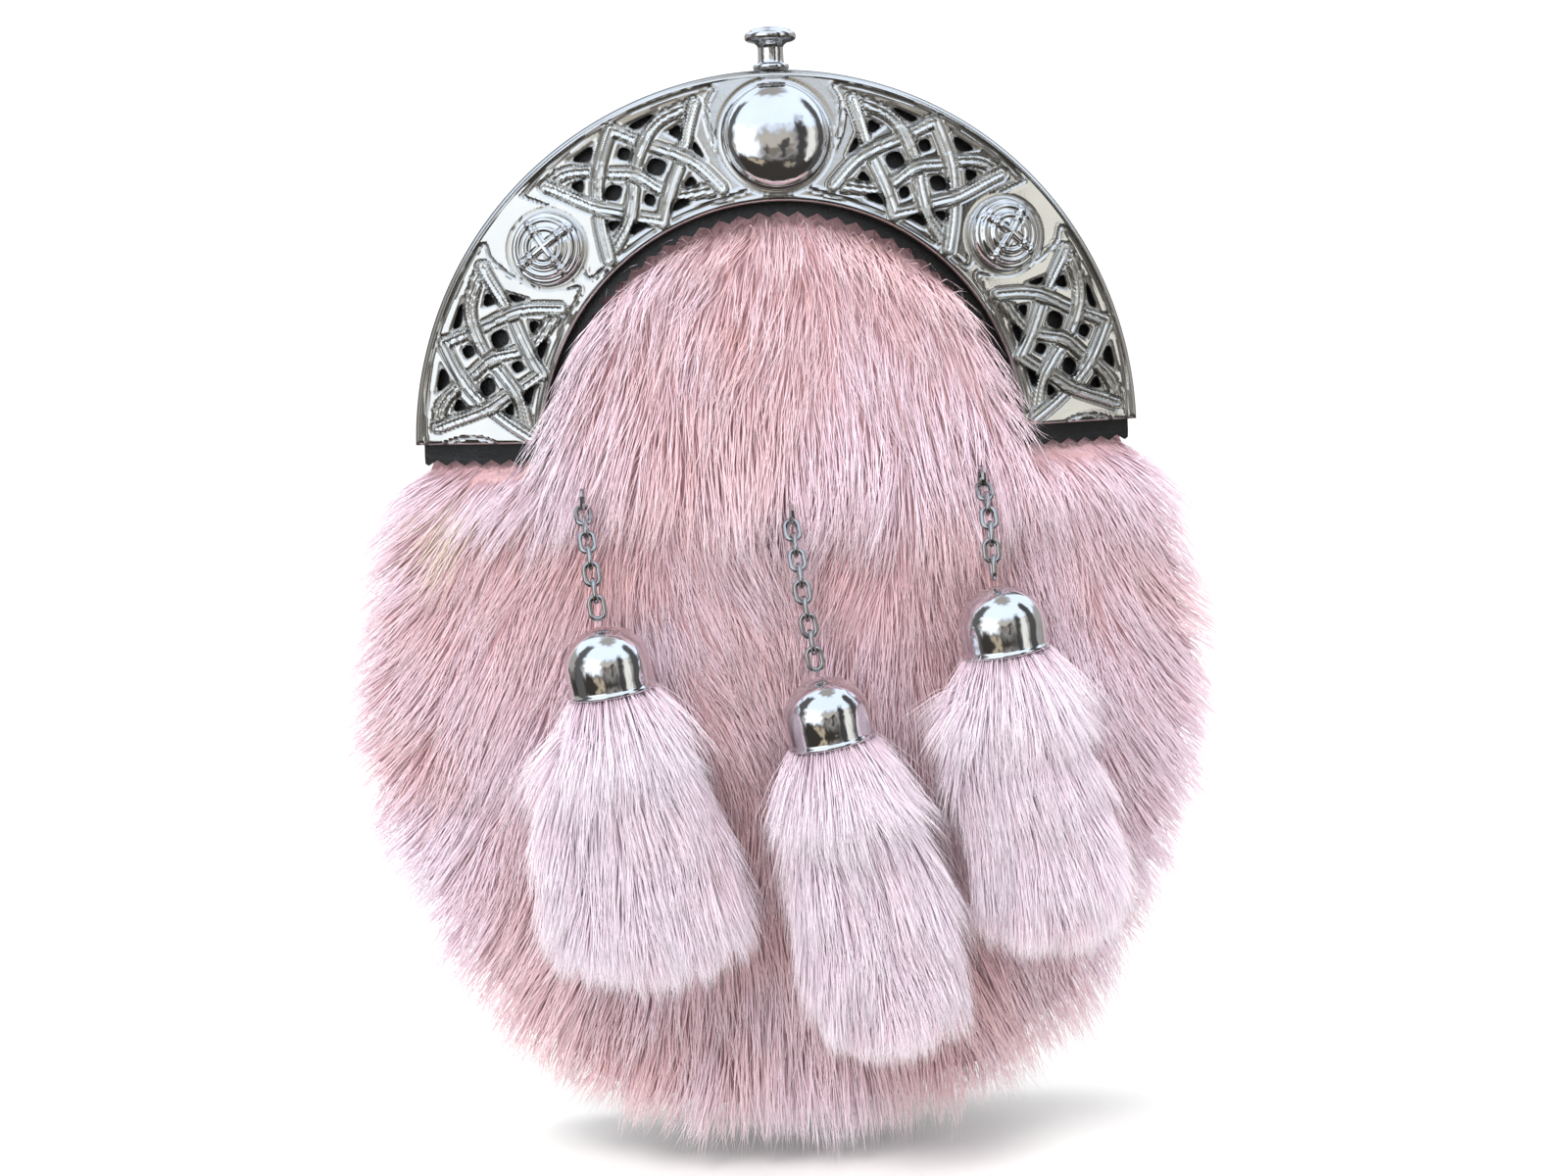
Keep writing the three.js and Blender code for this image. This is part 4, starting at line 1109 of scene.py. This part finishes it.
def body_flow(x, z):
    """Which way the body's hair is combed at a place: down, spreading outwards, in soft waves."""
    spread = x / 100.0
    lower = np.clip((-z - 20) / 120, 0, 1)
    places = np.stack([x, z, 0 * x], 1)
    swirl = 0.30 * soft_noise(places, 0.022, 1) + 0.26 * soft_noise(places, 0.055, 2)
    arch = np.clip((z + 10) / 50, 0, 1)
    between = 0.50 * np.exp(-((x + 22) / 17) ** 2)
    between = between * np.clip((2 - z) / 20, 0, 1) * np.clip((z + 95) / 40, 0, 1)
    aside = -0.42 * np.exp(-((x - 14) / 10) ** 2)
    aside = aside * np.clip((6 - z) / 14, 0, 1) * np.clip((z + 60) / 30, 0, 1)
    lean_x = 0.50 * spread + 0.40 * spread * lower - 0.22 * arch * spread + swirl + between + aside
    return np.stack([lean_x, np.zeros_like(x), -np.ones_like(x)], 1)


def make_body_fur():
    """The front's hide and its long hair: combed down, spread at the edge, with a fringe over the chains."""
    skin = skin_from("fur_front", "fur_hide", 0.0018, 0.0029, (0.998, 0.97))
    wool = underfur("body underfur", (0.50, 0.27, 0.29), (0.74, 0.50, 0.54))
    material = hair("body hair", BODY_TONES)
    origin = np.array([0, ARC_Y, ARC_Z])
    outline = outline_of("fur_front", (0, ARC_Z + BODY_Z))

    def weigh(middles, normals):
        x, y, z = (middles / MM - origin).T
        under_cantle = (np.hypot(x, z) > LEATHER_R - 0.5) & (z > -2.4)
        forward = y < bend_depth(x) + 5.0
        near_leather = ((np.hypot(x, z) > LEATHER_R - 5) & (z > 0)) | ((np.abs(x) > 44) & (z > -9))
        facing = 0.45 + np.clip(0.3 - normals[:, 1], 0.0, 1.0)
        return np.where(under_cantle, 0.0, forward * facing * (1 + near_leather))

    points, normals = scatter(skin, BODY_HAIRS, weigh)
    roots = points / MM
    x, y, z = (roots - origin).T
    reach = np.hypot(x, z - BODY_Z) / 100
    edge = np.clip((reach - 0.72) / 0.25, 0, 1)
    outward = unit(np.stack([x, 0 * x, z - BODY_Z], 1))
    arch = np.clip((z + 4) / 40, 0, 1)
    lay = unit(body_flow(x, z)) + outward * (0.85 * edge * (1 - arch))[:, None]
    lay = over_skin(unit(lay + rng.normal(0, 0.08, lay.shape)), normals, 0.85 - 0.5 * edge)
    hem = 4 + 9 * soft_noise(np.stack([x, 0 * x, 0 * x], 1), 0.045, 7)
    fringe = np.clip(1 - np.abs(z - hem) / 13, 0, 1) * np.clip((54 - np.abs(x)) / 6, 0, 1)
    length = 20 + 4.0 * soft_noise(roots, 0.05, 4) + rng.normal(0, 2.2, len(x))
    length = length * (1 - 0.22 * arch) + rng.uniform(0, 15, len(x)) * fringe
    by_leather = (np.hypot(x, z) > LEATHER_R - 5) & (z > 0)
    brushed_up = by_leather & (rng.random(len(x)) < 0.12)
    lay = np.where(brushed_up[:, None], unit(lay * 0.5 + outward), lay)
    length = np.where(brushed_up, rng.uniform(3, 6, len(x)), length)
    directions = unit(lay + normals * 0.1)
    limit = outline[0], outline[1] - 1.6 + 4.2 * np.abs(np.sin(np.radians(outline[0])))
    length = outline_reach(roots, directions, length, (0, ARC_Z + BODY_Z), limit)
    length = np.maximum(length + rng.normal(0, 1.4, len(x)).clip(-4, 2.2), 5.0)
    tips = roots + lay * length[:, None]
    big, lock = lock_pull(roots, tips, 0.016, 0.30, (4.6, 4.6, 4.6))
    small, _ = lock_pull(roots, tips + big, 0.12, 0.42, (1.5, 1.5, 1.5))
    lift = 0.13 + 0.06 * soft_noise(roots, 0.12, 3) + 0.05 * rng.standard_normal(lock.max() + 1)[lock]
    lift += rng.normal(0, 0.035, len(x)) + 0.20 * edge + 0.18 * fringe + 0.05 * arch + 0.10 * by_leather
    lift = np.clip(lift, 0.02, 0.5)
    # painted shadow: the hair in a band just below the fringe is darkened; the fringe's own hair is lightened
    # as a painted highlight
    painted_shadow_below_fringe = np.clip(1 - np.abs(z + 17) / 9, 0, 1) * (np.abs(x) < 50)
    pale_side = np.clip((-x - 25) / 25, 0, 1) * np.clip((z + 15) / 20, 0, 1)
    tone = 0.44 + 0.06 * fringe - 0.13 * painted_shadow_below_fringe + 0.46 * soft_noise(roots, 0.03, 5)
    tone = tone + 0.14 * soft_noise(roots, 0.10, 6) + 0.34 * edge * (1 - arch)
    tone += 0.10 * rng.standard_normal(lock.max() + 1)[lock] + 0.30 * pale_side
    # painted shade: the hair darkens towards the bottom of the body
    tone -= 0.42 * np.clip((-z - 88) / 40, 0, 1)
    tone = np.clip(tone + rng.normal(0, 0.08, len(x)), 0.0, 0.9)
    halfway = roots - origin + lay * length[:, None] * 0.7
    stain = np.hypot(halfway[:, 0] + 80, halfway[:, 2] + 25) < 5.5 + rng.normal(0, 1.6, len(x))
    tone = np.where(stain, 0.97, tone)
    sway = big + small + rng.normal(0, 1.7, (len(x), 3)) * (1, 0.5, 0.6) + np.array([0, 0, -1.0])
    girth = rng.uniform(0.65, 1.3, len(x))
    tree = hair_tree(template, material)
    order = np.argsort(z)
    for part, chosen in zip(("lower", "middle", "upper"), np.array_split(order, 3)):
        piece = grow_hair(
            f"fur_body_{part}", tree, roots[chosen], normals[chosen], lay[chosen], lift[chosen],
            length[chosen], tone[chosen], girth[chosen], sway[chosen],
        )
        finished(piece, material, "body_fur")
    finished(skin, wool, "body_fur", "fur_front")


def tassel_collar(rim, axis):
    """Hair that spills out all round from inside a cap's rim and turns down over the tassel's shoulder."""
    count = COLLAR_HAIRS
    turn = rng.uniform(0, 2 * np.pi, count)
    across = np.cross(axis, (0, 1, 0))
    radial = np.outer(np.cos(turn), across) + np.outer(np.sin(turn), (0, 1, 0))
    inside = axis * rng.uniform(0.6, 2.4, count)[:, None]
    start = rim + inside + radial * rng.uniform(6.4, 8.3, count)[:, None]
    lay = unit(-axis + radial * rng.uniform(0.05, 0.45, count)[:, None] + rng.normal(0, 0.05, (count, 3)))
    lift = rng.uniform(0.08, 0.32, count)
    length = rng.uniform(9, 27, count)
    tone = np.clip(rng.normal(0.78, 0.14, count), 0, 1)
    sway = rng.normal(0, 0.9, (count, 3)) - radial * 1.5
    return start, radial, lay, lift, length, tone, rng.uniform(0.65, 1.25, count), sway


def make_tassel(side, wool, material):
    """One tassel: its core and hair, and the collar that spills out from its cap."""
    node = f"tassel_{side}"
    skin = skin_from(node, f"tassel_{side}_core", 0.0022, 0.0014, (0.96, 0.97))
    low, high = box_mm(node)
    rim = np.array(cap_matrix(side).translation) / MM
    lean = math.radians(SIDES[side]["lean"])
    axis = np.array([-math.sin(lean), 0, math.cos(lean)])

    def weigh(middles, normals):
        below = (middles / MM - rim) @ axis
        facing = 0.45 + 0.55 * np.clip(-normals[:, 1] + 0.5, 0, 1)
        return (below < 1.0) * facing * np.where(below > -10, 2.2, 1.0)

    points, normals = scatter(skin, TASSEL_HAIRS, weigh)
    roots = points / MM
    depth = np.clip((high[2] - roots[:, 2]) / (high[2] - low[2]), 0, 1)
    levels, middles = tassel_middle(skin)
    core = np.interp(roots[:, 2], levels, middles)
    ahead = np.interp(roots[:, 2] - 6, levels, middles)
    away = np.stack([(roots[:, 0] - core) / 20, (roots[:, 1] - rim[1]) / 14, 0 * depth], 1)
    drop = (roots - rim) @ axis
    neck = np.clip((drop + 12) / 10, 0, 1)
    skirt = np.clip((depth - 0.62) / 0.3, 0, 1)
    lay = np.stack([(ahead - core) / 6, 0 * depth, -np.ones(len(depth))], 1)
    lay = lay + away * (0.30 + 0.5 * neck)[:, None]
    lay[:, 0] += 0.20 * soft_noise(roots, 0.06, 11) + 0.12 * soft_noise(roots, 0.16, 15)
    lay = over_skin(unit(lay + rng.normal(0, 0.07, lay.shape)), normals, 0.7)
    length = 19 + 3 * soft_noise(roots, 0.09, 12) + rng.normal(0, 2.2, len(depth))
    length *= 1 - 0.30 * skirt
    tips = roots + lay * length[:, None]
    lowest = low[2] - 3.2 + rng.normal(0, 1.3, len(depth)) + 0.035 * (roots[:, 0] - core) ** 2 * 0.3
    length *= np.clip((roots[:, 2] - lowest) / np.maximum(roots[:, 2] - tips[:, 2], 1), 0.25, 1)
    tips = roots + lay * length[:, None]
    big, lock = lock_pull(roots, tips, 0.018, 0.28, (2.6, 2.6, 2.6))
    small, _ = lock_pull(roots, tips + big, 0.13, 0.45, (1.0, 1.0, 1.0))
    lift = 0.08 + 0.22 * neck + 0.05 * soft_noise(roots, 0.2, 13)
    lift = lift + 0.05 * rng.standard_normal(lock.max() + 1)[lock]
    lift = np.clip(lift + rng.normal(0, 0.03, len(depth)), 0.01, 0.5)
    tone = 0.66 + 0.28 * soft_noise(roots, 0.06, 14) + 0.12 * rng.standard_normal(lock.max() + 1)[lock]
    tone = np.clip(tone + rng.normal(0, 0.10, len(depth)) - 0.30 * skirt * (depth > 0.8), 0, 1)
    sway = big + small + rng.normal(0, 0.8, (len(depth), 3)) + np.array([0, 0, -0.8])
    girth = rng.uniform(0.65, 1.25, len(depth))
    collar = tassel_collar(rim, axis)
    body = roots, normals, lay, lift, length, tone, girth, sway
    roots, normals, lay, lift, length, tone, girth, sway = map(np.concatenate, zip(body, collar))
    ahead = roots[:, 1] + (length * (lay[:, 1] + normals[:, 1] * lift) + sway[:, 1]).clip(None, 0)
    foremost = low[1] - TASSEL_FLUFF
    shorter = np.clip((roots[:, 1] - foremost) / np.maximum(roots[:, 1] - ahead, 1e-6), 0.1, 1)
    hair_shape = lay, lift, length * shorter, tone, girth, sway * shorter[:, None]
    tuft = grow_hair(f"tassel_{side}_hair", hair_tree(template, material), roots, normals, *hair_shape)
    finished(tuft, material, "tassel_fur")
    finished(skin, wool, "tassel_fur", node)


def tassel_middle(skin):
    """Heights and the skin's middle at each, in millimetres, for following a leaning tassel's core."""
    points = vertex_values(skin.data) / MM
    levels = np.linspace(points[:, 2].min(), points[:, 2].max(), 16)
    middles = []
    for level in levels:
        near = np.abs(points[:, 2] - level) < 3.5
        middles.append((points[near, 0].min() + points[near, 0].max()) / 2)
    return levels, np.array(middles)


# ---------------------------------------------------------------- room

CAMERA_YAW, CAMERA_PITCH, CAMERA_ROLL, CAMERA_DOWN = 4.6, 3.6, -1.9, 3.57
CAMERA_DISTANCE = 525.0
CAMERA_LENS = 52.65
# what the plating mirrors: centre and half size in degrees round from the front and up, softness, colour
SURROUNDINGS = [
    ((0, -50, 180, 48), 12, (0.04, 0.036, 0.032)),
    ((0, 50, 180, 28), 8, (0.85, 0.97, 1.15)),
    ((-42, 12, 26, 22), 6, (1.05, 1.12, 1.2)),
    ((0, 14, 22, 11), 5, (0.48, 0.45, 0.40)),
    ((4, 2, 17, 6), 2, (0.20, 0.18, 0.16)),
    ((10, 4, 5, 10), 1.5, (0.06, 0.06, 0.06)),
    ((-9, 3, 3, 8), 1.5, (0.10, 0.09, 0.09)),
    ((32, 5, 9, 32), 4, (0.05, 0.05, 0.05)),
    ((50, 6, 9, 24), 4, (0.80, 0.80, 0.76)),
    ((80, 0, 16, 60), 6, (0.07, 0.07, 0.07)),
    ((-86, 0, 16, 60), 6, (0.10, 0.10, 0.10)),
    ((-30, -16, 16, 5), 3, (0.45, 0.38, 0.28)),
    ((18, -22, 12, 5), 3, (0.30, 0.27, 0.22)),
]


def make_camera():
    """Stands the camera before the pouch, turned, pitched and rolled slightly, and tilted down at it."""
    yaw, pitch = math.radians(CAMERA_YAW), math.radians(CAMERA_PITCH)
    roll, down = math.radians(CAMERA_ROLL), math.radians(CAMERA_DOWN)
    turn = Matrix.Rotation(roll, 3, "Y") @ Matrix.Rotation(pitch, 3, "X") @ Matrix.Rotation(yaw, 3, "Z")
    right, forward, up = turn
    look = forward * math.cos(down) - up * math.sin(down)
    above = up * math.cos(down) + forward * math.sin(down)
    data = bpy.data.cameras.new("camera")
    data.sensor_width = 36
    data.lens = CAMERA_LENS
    camera = bpy.data.objects.new("camera", data)
    camera.matrix_world = Matrix((right, above, -look)).transposed().to_4x4()
    camera.location = Vector(placed((0, 0, 0))) - forward * CAMERA_DISTANCE * MM
    bpy.context.collection.objects.link(camera)
    bpy.context.scene.camera = camera


def area_light(name, place, target, size, power, colour=(1, 1, 1)):
    data = bpy.data.lights.new(name, "AREA")
    data.shape = "RECTANGLE"
    data.size, data.size_y = size
    data.energy = power
    data.color = colour
    lamp = bpy.data.objects.new(name, data)
    lamp.location = place
    lamp.visible_glossy = False
    lamp.rotation_mode = "QUATERNION"
    lamp.rotation_quaternion = (Vector(target) - Vector(place)).to_track_quat("-Z", "Y")
    bpy.context.collection.objects.link(lamp)


def mirrored_room(tree):
    """Colour of the room the plating mirrors: soft-edged sky, buildings and shade set out by direction."""
    def add(kind, *values, operation=None):
        node = tree.nodes.new(kind)
        if operation:
            node.operation = operation
        for socket, value in zip(node.inputs, values):
            if isinstance(value, bpy.types.NodeSocket):
                tree.links.new(value, socket)
            elif value is not None:
                socket.default_value = value
        return node.outputs[0]

    def maths(operation, *values):
        return add("ShaderNodeMath", *values, operation=operation)

    direction = tree.nodes.new("ShaderNodeTexCoord").outputs["Generated"]
    ragged = tree.nodes.new("ShaderNodeTexNoise")
    ragged.inputs["Scale"].default_value = 5.0
    ragged.inputs["Detail"].default_value = 6.0
    tree.links.new(direction, ragged.inputs["Vector"])
    split = tree.nodes.new("ShaderNodeSeparateXYZ")
    tree.links.new(direction, split.inputs[0])
    x, y, z = split.outputs
    wander = maths("MULTIPLY_ADD", ragged.outputs["Fac"], 30.0, -15.0)
    round_way = maths("ARCTAN2", x, maths("MULTIPLY", y, -1.0))
    around = maths("ADD", maths("MULTIPLY", round_way, 180 / math.pi), wander)
    height = maths("MULTIPLY_ADD", maths("ARCSINE", z), 180 / math.pi, wander)
    colour = None
    for (middle, level, half_width, half_height), softness, tint in SURROUNDINGS:
        across = maths("SUBTRACT", half_width, maths("ABSOLUTE", maths("SUBTRACT", around, float(middle))))
        upward = maths("SUBTRACT", half_height, maths("ABSOLUTE", maths("SUBTRACT", height, float(level))))
        inside = maths("DIVIDE", maths("MINIMUM", across, upward), float(softness))
        clamp = tree.nodes.new("ShaderNodeClamp")
        tree.links.new(inside, clamp.inputs[0])
        mix = tree.nodes.new("ShaderNodeMix")
        mix.data_type = "RGBA"
        tree.links.new(clamp.outputs[0], mix.inputs[0])
        mix.inputs[6].default_value = (0.35, 0.34, 0.33, 1)
        if colour:
            tree.links.new(colour, mix.inputs[6])
        mix.inputs[7].default_value = (*tint, 1)
        colour = mix.outputs[2]
    return colour


def make_room():
    floor = add_mesh("floor", [(-9, -9, 0), (9, -9, 0), (9, 9, 0), (-9, 9, 0)], [(0, 1, 2, 3)], smooth=False)
    low, high = cad_box
    place(floor, Matrix.Translation((0, 0, low[2] - 0.0065)))
    shader = Shader("pale floor")
    shader.set(Roughness=0.8, Specular_IOR_Level=0.1)
    shader.finish(shader.ramp(shader.noise(3, 2), (0.3, 0.90), (0.7, 0.93)))
    floor.data.materials.append(shader.material)
    floor.visible_glossy = False
    world = bpy.data.worlds.new("studio")
    bpy.context.scene.world = world
    world.use_nodes = True
    tree = world.node_tree
    background = tree.nodes["Background"]
    path = tree.nodes.new("ShaderNodeLightPath")
    mix = tree.nodes.new("ShaderNodeMix")
    mix.data_type = "RGBA"
    mix.inputs[6].default_value = (1, 1, 1, 1)
    tree.links.new(path.outputs["Is Glossy Ray"], mix.inputs[0])
    tree.links.new(mirrored_room(tree), mix.inputs[7])
    tree.links.new(mix.outputs[2], background.inputs["Color"])
    background.inputs["Strength"].default_value = 1.25
    middle = (Vector(low) + Vector(high)) / 2
    area_light("key", middle + Vector((-0.5, -0.9, 1.0)), middle, (0.5, 0.5), 15, (1.0, 0.98, 0.95))
    area_light("top", middle + Vector((0.0, 0.1, 1.2)), middle, (0.6, 0.6), 6)
    bpy.context.scene.view_settings.view_transform = "Standard"


# ---------------------------------------------------------------- assembly

make_camera()
make_room()
polished = polished_metal()
boss_metal = polished_metal("boss plating", (0.80, 0.80, 0.80), 0.08, 0.22)
wire_metal = polished_metal("chain plating", (0.50, 0.50, 0.50), 0.06, 0.14)
black = leather("black pinked leather", (0.0075, 0.0075, 0.008))
bag = leather("black bag leather", (0.010, 0.0095, 0.0095), 700.0)

make_cantle()
make_dome(polished)
make_boss("left", boss_metal)
make_boss("right", boss_metal)
make_knob(polished)
links = link_tree(wire_metal)
for side in SIDES:
    make_cap(side, polished)
    make_chain(side, links, wire_metal)

kept_nodes = {
    "cantle_backing": black,
    **dict.fromkeys(("gusset", "back_panel", "back_flap", "belt_loop_left", "belt_loop_right"), bag),
    **dict.fromkeys(("flap_stud", "chain_left_ring", "chain_middle_ring", "chain_right_ring"), wire_metal),
}
for node, material in kept_nodes.items():
    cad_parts[node].data.materials.clear()
    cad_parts[node].data.materials.append(material)

make_stitching()

template = strand_template()
make_body_fur()
tassel_wool = underfur("tassel underfur", (0.56, 0.36, 0.42), (0.80, 0.63, 0.72))
tassel_material = hair("tassel hair", TASSEL_TONES)
for side in SIDES:
    make_tassel(side, tassel_wool, tassel_material)
bpy.data.objects.remove(template)
